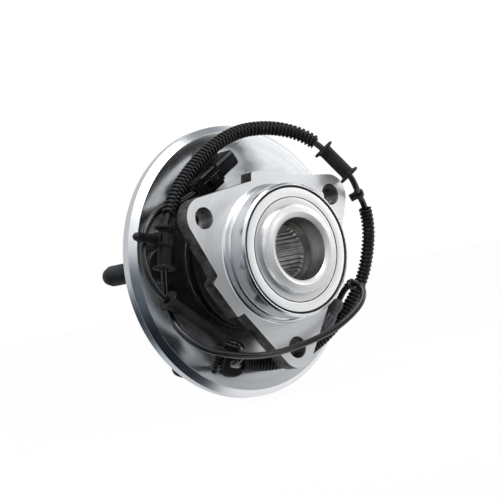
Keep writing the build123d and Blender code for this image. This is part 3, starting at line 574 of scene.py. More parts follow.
height = arithmetic(rough_skin, "ADD", grain.outputs["Fac"], pit_height)
rough_skin.links.new(height, ends_out.inputs["Height"])
patches = rough_skin.nodes.new("ShaderNodeTexNoise")
patches.inputs["Detail"].default_value = 3.0
rough_skin.links.new(where.outputs["Object"], patches.inputs["Vector"])
rough_skin.links.new(ends_in.outputs["Patches"], patches.inputs["Scale"])
speckle = arithmetic(rough_skin, "SUBTRACT", grain.outputs["Fac"], 0.5)
speckle = arithmetic(rough_skin, "MULTIPLY", speckle, 0.7)
mottle = arithmetic(rough_skin, "ADD", patches.outputs["Fac"], speckle)
rough_skin.links.new(mottle, ends_out.inputs["Patches"])

# Lighter edges where a corner stands out: rubbed wear, and a painted highlight where an edge catches the
# light.
edges_worn_and_highlighted, ends_in, ends_out = new_group("edges worn and highlighted", [("Start", 0.52), ("End", 0.60)], ["Mask"])
shape = edges_worn_and_highlighted.nodes.new("ShaderNodeNewGeometry")
ramp = edges_worn_and_highlighted.nodes.new("ShaderNodeMapRange")
edges_worn_and_highlighted.links.new(shape.outputs["Pointiness"], ramp.inputs["Value"])
edges_worn_and_highlighted.links.new(ends_in.outputs["Start"], ramp.inputs["From Min"])
edges_worn_and_highlighted.links.new(ends_in.outputs["End"], ramp.inputs["From Max"])
edges_worn_and_highlighted.links.new(ramp.outputs[0], ends_out.inputs["Mask"])


def finish(name, group, settings, dark, light, low, high, relief, metallic=0.0, specular=0.5):
    """A surface finish: two colours and two roughnesses spread by a group's masks, and its relief."""
    mask, gloss_mask = ("Bands", "Smears") if group is lathe_marks else ("Patches", "Patches")
    made = bpy.data.materials.new(name)
    made.use_nodes = True
    tree = made.node_tree
    shader = tree.nodes["Principled BSDF"]
    shader.inputs["Metallic"].default_value = metallic
    shader.inputs["Specular IOR Level"].default_value = specular
    effect = tree.nodes.new("ShaderNodeGroup")
    effect.node_tree = group
    for label, value in settings.items():
        effect.inputs[label].default_value = value
    colours = tree.nodes.new("ShaderNodeMix")
    colours.data_type = "RGBA"
    colours.inputs["A"].default_value = (*dark, 1.0)
    colours.inputs["B"].default_value = (*light, 1.0)
    spread = tree.nodes.new("ShaderNodeMapRange")
    spread.inputs["From Min"].default_value = 0.32
    spread.inputs["From Max"].default_value = 0.68
    tree.links.new(effect.outputs[mask], spread.inputs["Value"])
    tree.links.new(spread.outputs[0], colours.inputs["Factor"])
    tree.links.new(colours.outputs["Result"], shader.inputs["Base Color"])
    gloss = tree.nodes.new("ShaderNodeMapRange")
    gloss.inputs["From Min"].default_value = 0.3
    gloss.inputs["From Max"].default_value = 0.7
    gloss.inputs["To Min"].default_value = low
    gloss.inputs["To Max"].default_value = high
    tree.links.new(effect.outputs[gloss_mask], gloss.inputs["Value"])
    tree.links.new(gloss.outputs[0], shader.inputs["Roughness"])
    bump = tree.nodes.new("ShaderNodeBump")
    bump.inputs["Strength"].default_value = 1.0
    bump.inputs["Distance"].default_value = relief * mm
    tree.links.new(effect.outputs["Height"], bump.inputs["Height"])
    tree.links.new(bump.outputs[0], shader.inputs["Normal"])
    return made


def edge_wear_and_highlight(made, colour, start, end):
    """Mix a lighter colour into a finish along its outer corners: rubbed wear, and a painted highlight."""
    tree = made.node_tree
    shader = tree.nodes["Principled BSDF"]
    effect = tree.nodes.new("ShaderNodeGroup")
    effect.node_tree = edges_worn_and_highlighted
    effect.inputs["Start"].default_value = start
    effect.inputs["End"].default_value = end
    under = shader.inputs["Base Color"].links[0].from_socket
    worn_and_highlighted = tree.nodes.new("ShaderNodeMix")
    worn_and_highlighted.data_type = "RGBA"
    worn_and_highlighted.inputs["B"].default_value = (*colour, 1.0)
    tree.links.new(effect.outputs["Mask"], worn_and_highlighted.inputs["Factor"])
    tree.links.new(under, worn_and_highlighted.inputs["A"])
    tree.links.new(worn_and_highlighted.outputs["Result"], shader.inputs["Base Color"])


def turned_sheen(made, amount):
    """Stretch a finish's highlights across its turning marks, about the spindle."""
    tree = made.node_tree
    shader = tree.nodes["Principled BSDF"]
    shader.inputs["Anisotropic"].default_value = amount
    around = tree.nodes.new("ShaderNodeTangent")
    around.direction_type = "RADIAL"
    around.axis = "Y"
    tree.links.new(around.outputs[0], shader.inputs["Tangent"])


def centre_marks(piece):
    """Set a piece's turning marks about the spindle axis."""
    piece.data.use_auto_texspace = False
    piece.data.texspace_location = (0.0, 0.0, 0.0)
    piece.data.texspace_size = (0.1, 0.1, 0.1)


def from_axis(at):
    """How far a place lies from the spindle axis."""
    return sqrt(at.x**2 + at.z**2)


def paint(piece, made):
    piece.data.materials.clear()
    piece.data.materials.append(made)


def paint_faces(piece, made, wanted):
    """Give a second finish to the faces that pass a test of their centre in millimetres and their normal."""
    piece.data.materials.append(made)
    last = len(piece.data.materials) - 1
    for face in piece.data.polygons:
        if wanted(face.center / mm, face.normal):
            face.material_index = last


ground_steel = finish(
    "ground_steel", lathe_marks, {"Marks": 3200.0, "Bands": 420.0},
    (0.66, 0.67, 0.69), (0.76, 0.77, 0.79), 0.15, 0.20, 0.0010, 1.0,
)
machined_seat = finish(
    "machined_seat", lathe_marks, {"Marks": 2400.0, "Bands": 300.0},
    (0.64, 0.65, 0.66), (0.72, 0.73, 0.74), 0.30, 0.38, 0.0014, 0.62,
)
forged_side = finish(
    "forged_side", rough_skin, {"Grain": 430.0, "Patches": 80.0},
    (0.016, 0.0155, 0.0145), (0.15, 0.148, 0.142), 0.46, 0.64, 0.45, 0.55, specular=0.2,
)
# painted shade: a much darker copy of the forged skin for the body behind the plate, where plate and flange
# keep the light off
forged_steel = finish(
    "forged_steel", rough_skin, {"Grain": 420.0, "Patches": 70.0},
    (0.006, 0.0054, 0.0046), (0.026, 0.0235, 0.020), 0.44, 0.64, 0.30, 0.4, specular=0.15,
)
paint(lathe_work, ground_steel)
paint(plate, forged_side)
paint_faces(plate, machined_seat, lambda at, normal: normal.y < -0.6 or from_axis(at) < 46.5)
# painted shade on the body behind the plate
paint(forging, forged_steel)
pad_out = Vector((cos(radians(sensor_angle)), 0.0, sin(radians(sensor_angle))))
paint_faces(
    forging, machined_seat,
    lambda at, normal: normal.dot(pad_out) > 0.97 and abs(at.dot(pad_out) - sensor_seat) < 0.05,
)
drilled_steel = finish(
    "drilled_steel", rough_skin, {"Grain": 1400.0, "Patches": 220.0},
    (0.24, 0.235, 0.225), (0.56, 0.55, 0.535), 0.30, 0.46, 0.02, 0.85,
)


def in_bolt_hole(at, normal):
    """Whether a face belongs to the wall of a bolt hole."""
    return any(sqrt((at.x - x) ** 2 + (at.z - z) ** 2) < knuckle_hole_radius + 0.02 for x, z in bolt_places)


paint_faces(plate, drilled_steel, in_bolt_hole)
paint_faces(forging, drilled_steel, in_bolt_hole)
turned_sheen(ground_steel, 0.55)
housing = join("housing", lathe_work, plate, forging)
centre_marks(housing)
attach(housing, "housing")
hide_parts("bearing_housing")

# ================================================================ spindle and wheel flange
# One forging with a splined bore. The flange faces, the pilots and the rolled nose are
# turned bright; the wheel studs are pressed through it.

wheel_face = 48.0
flange_face = 36.9
flange_radius = 92.2
spindle_seat = 25.5
ring_face = -19.0
spline_root, spline_tip = 17.6, 16.1
spline_count = 33
pilot_face = 62.0
brake_face = 54.0
counterbore = 20.8
ring_shoulder, ring_waist = 34.8, 31.4
inner_groove_middle = pitch_radius - groove_offset
inner_rise = groove_rise(inner_groove_middle, ring_shoulder)
inner_drop = groove_rise(inner_groove_middle, ring_waist)

spindle = turn("spindle", [
    (ring_waist, 17.3), (31.0, 16.6), (31.0, 3.2), (spindle_seat, 3.2), (spindle_seat, ring_face),
    (29.3, ring_face),
] + arc(28.9, -20.4, 1.1, 60.0, -40.0, 5) + [
    (28.9, -23.1), (27.5, -23.5), (27.15, -23.75), (26.9, -23.95), (26.5, -23.95), (26.3, -24.15),
    (25.3, -24.75),
] + arc(24.2, -24.1, 1.1, -60.0, -120.0, 5) + [
    (22.7, -24.7), (counterbore, -23.2), (counterbore, -8.6), (20.4, -8.0), (18.0, -4.9), (17.9, -4.8),
    (17.9, 29.0), (18.6, 30.0), (27.0, 30.0), (27.0, 60.0), (29.0, pilot_face), (37.4, pilot_face),
    (38.85, pilot_face - 1.5), (38.85, brake_face), (46.9, brake_face), (47.5, brake_face - 0.6),
    (47.5, 47.3),
    (54.3, 47.3), (55.1, wheel_face), (flange_radius - 1.0, wheel_face), (flange_radius, wheel_face - 1.0),
    (flange_radius, flange_face + 4.35), (flange_radius - 4.35, flange_face), (43.5, flange_face),
] + arc(43.5, 30.9, 6.0, 90.0, 180.0, 8)[1:] + [
    (37.5, 30.2), (ring_shoulder, 28.7), (ring_shoulder, 24.2),
] + arc(inner_groove_middle, outboard_row, groove_radius, 180.0 - inner_rise, 180.0 + inner_drop, 14), 320)
break_edges(spindle, 0.2)

# the broached spline, its teeth chamfered at both ends
spline = turn("spline", [
    (18.2, -4.75), (spline_root, -4.75), (spline_root, -3.0), (spline_root, 28.9), (spline_root, 29.95),
    (18.2, 29.95),
], spline_count * 6)
for vertex in spline.data.vertices:
    step = floor(degrees(atan2(vertex.co.z, vertex.co.x)) / (60.0 / spline_count) + 0.25) % 6
    if -3.1 < vertex.co.y / mm < 29.0 and step in (0, 1, 2) and from_axis(vertex.co) < 18.0 * mm:
        vertex.co.x *= spline_tip / spline_root
        vertex.co.z *= spline_tip / spline_root
break_edges(spline, 0.12)

disc_steel = finish(
    "disc_steel", lathe_marks, {"Marks": 2600.0, "Bands": 240.0},
    (0.70, 0.71, 0.73), (0.80, 0.81, 0.83), 0.19, 0.24, 0.0006, 1.0,
)
broached_steel = finish(
    "broached_steel", rough_skin, {"Grain": 900.0, "Patches": 160.0},
    (0.30, 0.295, 0.285), (0.56, 0.55, 0.535), 0.26, 0.40, 0.01, 1.0,
)
paint(spindle, disc_steel)
bored_steel = finish(
    "bored_steel", lathe_marks, {"Marks": 3000.0, "Bands": 500.0},
    (0.48, 0.475, 0.46), (0.62, 0.615, 0.60), 0.30, 0.38, 0.0012, 1.0,
)
paint_faces(
    spindle, bored_steel, lambda at, normal: from_axis(at) < counterbore + 0.2 and at.y > -22.9
)
# painted shade: a dark copy of the steel on the chamfered step between counterbore and spline, deep in the
# bore
shaded_chamfer_steel = finish(
    "shaded_chamfer_steel", rough_skin, {"Grain": 900.0, "Patches": 160.0},
    (0.11, 0.107, 0.10), (0.20, 0.196, 0.188), 0.34, 0.46, 0.006, 1.0,
)
paint_faces(
    spindle, shaded_chamfer_steel, lambda at, normal: from_axis(at) < counterbore - 0.1 and -8.7 < at.y < -4.5
)
rolled_steel = finish(
    "rolled_steel", lathe_marks, {"Marks": 2800.0, "Bands": 600.0},
    (0.60, 0.603, 0.60), (0.72, 0.722, 0.72), 0.40, 0.50, 0.0020, 0.72,
)
paint_faces(
    spindle, rolled_steel,
    lambda at, normal: at.y < ring_face - 0.1 and counterbore + 0.2 < from_axis(at) < 28.3,
)
turned_sheen(disc_steel, 0.6)
paint(spline, broached_steel)
hub = join("hub", spindle, spline)
centre_marks(hub)
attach(hub, "hub")
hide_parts("hub_flange")

# ================================================================ inboard inner ring
# A ground ring of bearing steel with the inboard raceway, pressed on the spindle and held
# by the rolled nose.

inner_ring = turn("inboard_inner_ring", [
    (spindle_seat, 3.2), (spindle_seat, ring_face), (34.0, ring_face), (34.5, ring_face + 0.2),
    (ring_shoulder, ring_face + 0.8), (ring_shoulder, -6.8),
] + arc(inner_groove_middle, inboard_row, groove_radius, 180.0 + inner_rise, 180.0 - inner_drop, 14) + [
    (ring_waist, 3.2),
])
break_edges(inner_ring, 0.12)
ring_steel = finish(
    "ring_steel", lathe_marks, {"Marks": 5200.0, "Bands": 700.0},
    (0.62, 0.622, 0.625), (0.72, 0.722, 0.725), 0.28, 0.36, 0.0012, 0.8,
)
paint(inner_ring, ring_steel)
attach(inner_ring, "hub")
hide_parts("inner_ring")

# ================================================================ balls, cages and tone ring
# Chromium steel balls in two glass-filled nylon cages, with the toothed ring that the
# sensor reads pressed on between them. They are sealed inside.

def dress(node, made):
    """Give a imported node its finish."""
    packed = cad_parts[node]
    packed.data.materials.clear()
    packed.data.materials.append(made)


ball_steel = finish(
    "ball_steel", rough_skin, {"Grain": 200.0, "Patches": 40.0},
    (0.72, 0.73, 0.75), (0.80, 0.81, 0.83), 0.05, 0.10, 0.0002, 1.0,
)
cage_nylon = finish(
    "cage_nylon", rough_skin, {"Grain": 1500.0, "Patches": 120.0},
    (0.03, 0.045, 0.03), (0.06, 0.08, 0.05), 0.38, 0.50, 0.01,
)
tone_steel = finish(
    "tone_steel", rough_skin, {"Grain": 1800.0, "Patches": 150.0},
    (0.22, 0.22, 0.23), (0.36, 0.36, 0.37), 0.34, 0.48, 0.008, 1.0,
)
dress("inboard_balls", ball_steel)
dress("outboard_balls", ball_steel)
dress("inboard_cage", cage_nylon)
dress("outboard_cage", cage_nylon)
dress("tone_ring", tone_steel)

# ================================================================ seals
# Cassette seals. A stainless slinger turns with the spindle, and black nitrile lips,
# moulded on sheet cases that are pressed in the housing, run on it.

# black nitrile for the seal lips and O-ring, also used below as painted shade in the gap between slinger and
# inner ring
seal_rubber = finish(
    "seal_rubber", rough_skin, {"Grain": 2200.0, "Patches": 180.0},
    (0.004, 0.004, 0.0045), (0.010, 0.010, 0.011), 0.42, 0.58, 0.012, specular=0.25,
)
slinger = turn("slinger", [
    (ring_shoulder, -12.2), (34.85, -18.6), (35.1, -19.0), (35.5, -19.2), (40.6, -19.2), (40.95, -19.05),
    (41.0, -18.8),
    (40.9, -18.4), (36.0, -18.4), (35.6, -18.2), (35.6, -12.2),
])
break_edges(slinger, 0.08)
slinger_steel = finish(
    "slinger_steel", lathe_marks, {"Marks": 1600.0, "Bands": 200.0},
    (0.92, 0.925, 0.93), (0.97, 0.975, 0.98), 0.14, 0.22, 0.0006, 0.6,
)
paint(slinger, slinger_steel)
# painted shade: the black rubber finish on the slinger's inner corner and the inner ring's shoulder draws a
# thin dark ring in the gap between them
paint_faces(slinger, seal_rubber, lambda at, normal: from_axis(at) < 35.0)
paint_faces(inner_ring, seal_rubber, lambda at, normal: from_axis(at) > 34.35 and at.y < -12.0)
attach(slinger, "hub")
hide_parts("inboard_slinger")

case_steel = finish(
    "case_steel", rough_skin, {"Grain": 1600.0, "Patches": 120.0},
    (0.40, 0.40, 0.41), (0.52, 0.52, 0.53), 0.28, 0.40, 0.006, 1.0,
)
inboard_lip = turn("inboard_lip", [
    (42.45, -19.15), (42.3, -19.3), (41.2, -19.3), (41.05, -19.15), (41.05, -17.8), (39.8, -14.6),
    (38.2, -18.25),
    (37.7, -18.3), (38.5, -14.1), (35.7, -14.7), (35.65, -14.3), (37.6, -12.8), (42.45, -12.8),
], 224)
break_edges(inboard_lip, 0.06)
paint(inboard_lip, seal_rubber)
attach(inboard_lip, "housing")
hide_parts("inboard_seal_lip")
inboard_case = turn("inboard_case", [
    (42.6, -19.05), (42.57, -19.15), (42.48, -19.15), (42.45, -19.05), (42.45, -12.8), (37.6, -12.8),
    (37.6, -12.0),
    (42.6, -12.0),
], 224)
break_edges(inboard_case, 0.06)
paint(inboard_case, case_steel)
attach(inboard_case, "housing")
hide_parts("inboard_seal_case")
dress("outboard_seal_case", case_steel)
outboard_lip = turn("outboard_lip", [
    (43.7, 29.6), (43.7, 32.75), (43.55, 32.9), (42.85, 32.9), (42.7, 32.75), (41.3, 30.7), (39.4, 30.7),
    (37.75, 31.7), (37.55, 31.6), (37.55, 31.1), (38.7, 29.6),
], 192)
break_edges(outboard_lip, 0.05)
paint(outboard_lip, seal_rubber)
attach(outboard_lip, "housing")
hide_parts("outboard_seal_lip")

# ================================================================ wheel studs
# Five cold-headed studs with a black phosphate finish, knurled where they grip and
# pressed through the flange from the knuckle side.

stud_circle = 69.85
first_stud_angle = 30.3
stud_reach = 50.0
stud_count = 5
thread_pitch = 1.5
thread_crest, thread_root, thread_start = 6.98, 6.12, 49.6


def turn_bar(name, corners, sides=64, centre=(0.0, 0.0)):
    """Turn a solid bar about an axis along Y from one end face to the other."""
    bar = draw_out(name, corners, sides, centre)
    close()
    edit(bar, "SELECT")
    bpy.ops.mesh.fill_holes(sides=0)
    bpy.ops.mesh.select_all(action="SELECT")
    bpy.ops.mesh.normals_make_consistent(inside=False)
    close()
    return bar


def threads(name, outer, root, start, turns, pitch, steps=32):
    """A helical thread about the Y axis, wound from one thread profile."""
    deselect()
    bpy.ops.mesh.primitive_plane_add(size=1.0)
    ridge = bpy.context.object
    edit(ridge, "SELECT")
    bpy.ops.mesh.delete(type="ONLY_FACE")
    close()
    profile = ((root, 0.0), (outer, 0.38 * pitch), (outer, 0.62 * pitch), (root, pitch))
    order = sorted(range(4), key=lambda i: (ridge.data.vertices[i].co.y, ridge.data.vertices[i].co.x))
    for i, place in zip((order[0], order[1], order[3], order[2]), profile):
        ridge.data.vertices[i].co = (place[0] * mm, (start + place[1]) * mm, 0.0)
    first, last = order[0], order[2]
    for edge in ridge.data.edges:
        edge.select = set(edge.vertices) == {first, last}
    for vertex in ridge.data.vertices:
        vertex.select = vertex.index in (first, last)
    bpy.ops.object.mode_set(mode="EDIT")
    bpy.ops.mesh.select_mode(type="EDGE")
    bpy.ops.mesh.delete(type="EDGE_FACE")
    close()
    winding = ridge.modifiers.new("winding", "SCREW")
    winding.axis = "Y"
    winding.steps = steps
    winding.render_steps = steps
    winding.screw_offset = pitch * mm
    winding.iterations = turns
    winding.use_merge_vertices = True
    winding.merge_threshold = 0.000005
    use(ridge)
    bpy.ops.object.modifier_apply(modifier=winding.name)
    edit(ridge, "SELECT")
    bpy.ops.mesh.remove_doubles(threshold=0.000005)
    bpy.ops.mesh.normals_make_consistent(inside=False)
    close()
    return settle(ridge, name)


tip_start = wheel_face + stud_reach - 5.6
shank = turn_bar("shank", [
    (9.6, 33.95), (10.6, 34.05), (11.05, 34.4), (11.2, 34.9), (11.2, 36.3), (11.0, 36.75), (10.6, 36.9),
    (7.35, 36.9),
    (7.35, 46.6), (6.35, 47.4), (6.35, 49.4), (6.2, 49.8), (6.2, tip_start), (6.3, tip_start + 0.6),
    (6.1, tip_start + 2.2), (5.5, tip_start + 4.0), (4.7, tip_start + 5.1), (3.9, tip_start + 5.6),
], 64)
break_edges(shank, 0.12)
thread_turns = int((tip_start - thread_start) / thread_pitch)
helix = threads("helix", thread_crest, thread_root, thread_start, thread_turns, thread_pitch)
smooth(helix, 25.0)
stud = join("stud", shank, helix)
stud_black = finish(
    "stud_black", rough_skin, {"Grain": 1500.0, "Patches": 140.0},
    (0.008, 0.008, 0.0085), (0.022, 0.022, 0.023), 0.34, 0.48, 0.010, 0.3, specular=0.35,
)
edge_wear_and_highlight(stud_black, (0.10, 0.10, 0.105), 0.53, 0.62)
paint(stud, stud_black)
studs = []
for i in range(stud_count):
    copy = stud.copy()
    copy.data = stud.data.copy()
    bpy.context.scene.collection.objects.link(copy)
    place = turned((stud_circle, 0.0), first_stud_angle + 360.0 / stud_count * i)
    copy.location = (place[0] * mm, 0.0, place[1] * mm)
    studs.append(settle(copy, "stud"))
bpy.data.objects.remove(stud)
studs = join("studs", *studs)
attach(studs, "hub")
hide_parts("wheel_studs")

# ================================================================ speed sensor
# A moulded sensor head on the spot-faced pad, its stem in the drilled hole, held by one
# zinc-plated screw. A rubber O-ring seals the stem and a rubber boot takes the cable.

sensor_pitch = 12.0
outlet_start, outlet_way = (38.0, 8.7, -53.1), (1.0, 0.0, 1.0)


def place_along(piece, name, start, direction, sideways):
    """Stand a piece made about the Y axis on a start point, its axis along a direction."""
    axis = Vector(direction).normalized()
    side = Vector(sideways)
    side = (side - axis * side.dot(axis)).normalized()
    third = side.cross(axis)
    stand = Matrix((side, axis, third)).transposed().to_4x4()
    stand.translation = Vector(start) * mm
    piece.matrix_world = stand
    return settle(piece, name)


def block(name, low, high, rounding=0.0, segments=3):
    """A block between two corners in millimetres, with its edges rounded."""
    deselect()
    bpy.ops.mesh.primitive_cube_add(size=1.0)
    made = bpy.context.object
    made.scale = [(b - a) * mm for a, b in zip(low, high)]
    made.location = [0.5 * (a + b) * mm for a, b in zip(low, high)]
    settle(made, name)
    if rounding:
        edit(made, "SELECT")
        bpy.ops.mesh.bevel(offset=rounding * mm, segments=segments, affect="EDGES")
        close()
    return made


def stand_on_pad(piece, name, radius):
    """Place a piece made about the Y axis on the sensor's own axis at a distance from the spindle."""
    start = pad_out * radius + Vector((0.0, sensor_axis, 0.0))
    return place_along(piece, name, start, pad_out, (0.0, 1.0, 0.0))


sensor_grey = finish(
    "sensor_grey", rough_skin, {"Grain": 1800.0, "Patches": 140.0},
    (0.050, 0.055, 0.062), (0.082, 0.088, 0.098), 0.40, 0.52, 0.012, specular=0.3,
)
stem = turn_bar("stem", [
    (4.2, 37.3), (4.7, 37.5), (4.9, 37.9), (4.9, 46.2), (3.7, 46.3), (3.7, 48.4), (4.9, 48.5), (4.9, 56.5),
], 56)
stem = stand_on_pad(stem, "stem", 0.0)
head = block("head", (-5.25, 0.0, -9.0), (5.25, 10.0, 3.5), 1.7, 4)
for groove in (3.2, 6.4):
    cut(head, block("groove", (-6.0, groove, -7.6), (-4.75, groove + 1.1, 2.1), 0.2, 2))
cap = block("cap", (-3.9, 9.4, -7.6), (3.9, 10.0, 2.1), 0.25, 2)
ear = hull("ear", rod(5.0, 0.0, 5.0, (0.0, 0.0), 48), rod(5.0, 0.0, 5.0, (sensor_pitch, 0.0), 48))
cut(ear, rod(3.1, -1.0, 6.0, (sensor_pitch, 0.0), 48))
break_edges(ear, 0.35, 35.0, 3)
for piece in (head, cap):
    smooth(piece, 40.0)
sensor_head = stand_on_pad(join("sensor_head", head, cap, ear), "sensor_head", sensor_seat)
outlet = turn_bar("outlet", [
    (3.7, -1.5), (3.7, 0.6), (3.9, 0.9), (3.9, 2.2), (3.5, 2.5), (3.5, 3.3), (3.9, 3.6), (3.9, 5.0),
    (3.6, 5.2),
], 48)
break_edges(outlet, 0.12)
outlet = place_along(outlet, "outlet", outlet_start, outlet_way, (0.0, 1.0, 0.0))
sensor = join("sensor", stem, sensor_head, outlet)
paint(sensor, sensor_grey)
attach(sensor, "housing")
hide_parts("speed_sensor")

o_ring = turn("o_ring", arc(4.35, 47.4, 0.62, 0.0, 330.0, 11), 48)
o_ring = stand_on_pad(o_ring, "o_ring", 0.0)
paint(o_ring, seal_rubber)
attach(o_ring, "housing")
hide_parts("sensor_oring")

screw_body = turn_bar("screw_body", [
    (2.6, 44.6), (3.0, 45.0), (3.0, 61.5), (4.6, 61.5), (4.6, 62.1), (3.9, 62.4), (3.75, 64.9),
    (3.4, 65.4), (2.6, 65.5),
], 48, (sensor_pitch, 0.0))
deselect()
bpy.ops.mesh.primitive_cylinder_add(
    vertices=6, radius=2.1 * mm, depth=2.4 * mm,
    location=(sensor_pitch * mm, 65.0 * mm, 0.0), rotation=(pi / 2, 0.0, 0.0),
)
cut(screw_body, settle(bpy.context.object, "socket"))
break_edges(screw_body, 0.15)
screw = stand_on_pad(screw_body, "screw", 0.0)
zinc = finish(
    "zinc_plate", rough_skin, {"Grain": 1400.0, "Patches": 160.0},
    (0.42, 0.42, 0.43), (0.58, 0.58, 0.60), 0.24, 0.38, 0.006, 1.0,
)
paint(screw, zinc)
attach(screw, "housing")
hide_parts("sensor_screw")

boot = turn_bar("boot", [
    (3.2, 5.2), (3.4, 5.5), (3.4, 8.0), (3.1, 8.4), (3.1, 9.2), (3.4, 9.6), (3.55, 11.0), (4.0, 12.4),
    (4.3, 14.0),
    (4.25, 15.4), (3.9, 16.9), (3.2, 18.0), (2.2, 18.6),
], 56)
boot = place_along(boot, "boot", outlet_start, outlet_way, (0.0, 1.0, 0.0))
cable_start = Vector(cable_stops[0])
neck_way = Vector(cable_stops[1]) - cable_start
neck = turn_bar("neck", [
    (3.5, -4.4), (3.3, -3.4), (3.4, -3.0), (2.9, -2.2), (3.0, -1.8), (2.55, -0.9), (2.5, 0.0),
], 48)
neck = place_along(neck, "neck", cable_start, neck_way, (0.0, 1.0, 0.0))
boot = join("boot", boot, neck)
break_edges(boot, 0.18, 30.0, 2)
boot_grey = finish(
    "boot_grey", rough_skin, {"Grain": 1900.0, "Patches": 130.0},
    (0.045, 0.050, 0.057), (0.075, 0.081, 0.090), 0.44, 0.58, 0.014, specular=0.25,
)
paint(boot, boot_grey)
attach(boot, "housing")
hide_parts("sensor_boot")

# ================================================================ corrugated conduits
# Two lengths of split nylon conduit over the cable. It is corrugated as it is extruded
# and slit along one side, where its ribs no longer meet.


def distance_along(place):
    """How far along the laid cable a place in millimetres lies."""
    spot = Vector(place) * mm
    nearest = min(range(len(line_points)), key=lambda i: (line_points[i] - spot).length)
    return sum((b - a).length for a, b in zip(line_points[:nearest], line_points[1:nearest + 1]))


def guide_line(name, first, last):
    """A guide curve over the laid cable from one distance to another, in metres."""
    run, kept = 0.0, []
    for before, after in zip(line_points, line_points[1:]):
        step = (after - before).length
        for wanted in (first, last):
            if run <= wanted < run + step:
                kept.append(before.lerp(after, (wanted - run) / step))
        if first < run + step < last:
            kept.append(after)
        run += step
    curve = bpy.data.curves.new(name, "CURVE")
    curve.dimensions = "3D"
    spline = curve.splines.new("POLY")
    spline.points.add(len(kept) - 1)
    for point, place in zip(spline.points, kept):
        point.co = (*place, 1.0)
    guide = bpy.data.objects.new(name, curve)
    bpy.context.scene.collection.objects.link(guide)
    return guide


def conduit(name, start, end, outer, depth, pitch, slit, sides=44):
    """Split corrugated conduit over the cable between two places in millimetres."""
    first, last = distance_along(start), distance_along(end)
    ribs = round((last - first) / (pitch * mm))
    pitch = (last - first) / ribs / mm
    root = outer - depth
    deselect()
    bpy.ops.mesh.primitive_circle_add(vertices=sides, radius=root * mm, rotation=(0.0, pi / 2, 0.0))
    rib = settle(bpy.context.object, name)
    edit(rib, "SELECT")
    radius, along = root, 0.0
    corner = outer - 0.12
    for next_radius, place in (
        (root, 0.10), (corner, 0.20), (outer, 0.28), (outer, 0.58), (corner, 0.66), (root, 0.76), (root, 1.0),
    ):
        step = (place - along) * pitch * mm
        bpy.ops.mesh.extrude_edges_move(TRANSFORM_OT_translate={"value": (step, 0.0, 0.0)})
        growth = next_radius / radius
        bpy.ops.transform.resize(value=(1.0, growth, growth), center_override=(0.0, 0.0, 0.0))
        radius, along = next_radius, place
    bpy.ops.mesh.select_all(action="SELECT")
    bpy.ops.mesh.normals_make_consistent(inside=False)
    bpy.ops.mesh.select_all(action="DESELECT")
    close()
    column = 360.0 / sides
    seam = round(slit / column) * column
    offset = degrees(atan2(rib.data.vertices[0].co.z, rib.data.vertices[0].co.y)) % column
    seam += offset
    for edge in rib.data.edges:
        at = [degrees(atan2(rib.data.vertices[i].co.z, rib.data.vertices[i].co.y)) for i in edge.vertices]
        edge.select = all(abs((a - seam + 180.0) % 360.0 - 180.0) < 0.3 * column for a in at)
        for i in edge.vertices:
            if edge.select:
                rib.data.vertices[i].select = True
    bpy.ops.object.mode_set(mode="EDIT")
    bpy.ops.mesh.select_mode(type="EDGE")
    bpy.ops.mesh.edge_split(type="EDGE")
    close()
    side_of = {}
    for face in rib.data.polygons:
        way = (degrees(atan2(face.center.z, face.center.y)) - seam) % 360.0
        for i in face.vertices:
            side_of[i] = way
    for vertex in rib.data.vertices:
        way = (degrees(atan2(vertex.co.z, vertex.co.y)) - seam) % 360.0
        if min(way, 360.0 - way) < 0.3 * column:
            way = 0.0 if side_of[vertex.index] < 180.0 else 360.0
            lean = radians(1.6 if way == 0.0 else -1.6)
            y, z = vertex.co.y, vertex.co.z
            vertex.co.y = y * cos(lean) - z * sin(lean)
            vertex.co.z = y * sin(lean) + z * cos(lean)
        vertex.co.x += (way / 360.0 - 1.0) * 0.5 * pitch * mm
    row = rib.modifiers.new("ribs", "ARRAY")
    row.count = ribs + 1
    row.use_relative_offset = False
    row.use_constant_offset = True
    row.constant_offset_displace = (pitch * mm, 0.0, 0.0)
    row.use_merge_vertices = True
    row.merge_threshold = 0.000004
    use(rib)
    bpy.ops.object.modifier_apply(modifier=row.name)
    edit(rib, "SELECT")
    bpy.ops.mesh.bisect(plane_co=(0.0, 0.0, 0.0), plane_no=(1.0, 0.0, 0.0), clear_inner=True)
    bpy.ops.mesh.select_all(action="SELECT")
    far_cut = (last - first - 0.00002, 0.0, 0.0)
    bpy.ops.mesh.bisect(plane_co=far_cut, plane_no=(1.0, 0.0, 0.0), clear_outer=True)
    close()
    wall = rib.modifiers.new("wall", "SOLIDIFY")
    wall.thickness = 0.5 * mm
    wall.offset = -1.0
    bpy.ops.object.modifier_apply(modifier=wall.name)
    guide = guide_line("guide", first, last)
    bend = rib.modifiers.new("laid", "CURVE")
    bend.object = guide
    bend.deform_axis = "POS_X"
    use(rib)
    bpy.ops.object.modifier_apply(modifier=bend.name)
    bpy.data.objects.remove(guide)
    smooth(rib, 38.0)
    return rib


conduit_nylon = finish(
    "conduit_nylon", rough_skin, {"Grain": 1500.0, "Patches": 110.0},
    (0.005, 0.0053, 0.006), (0.013, 0.0135, 0.015), 0.34, 0.46, 0.010, specular=0.18,
)
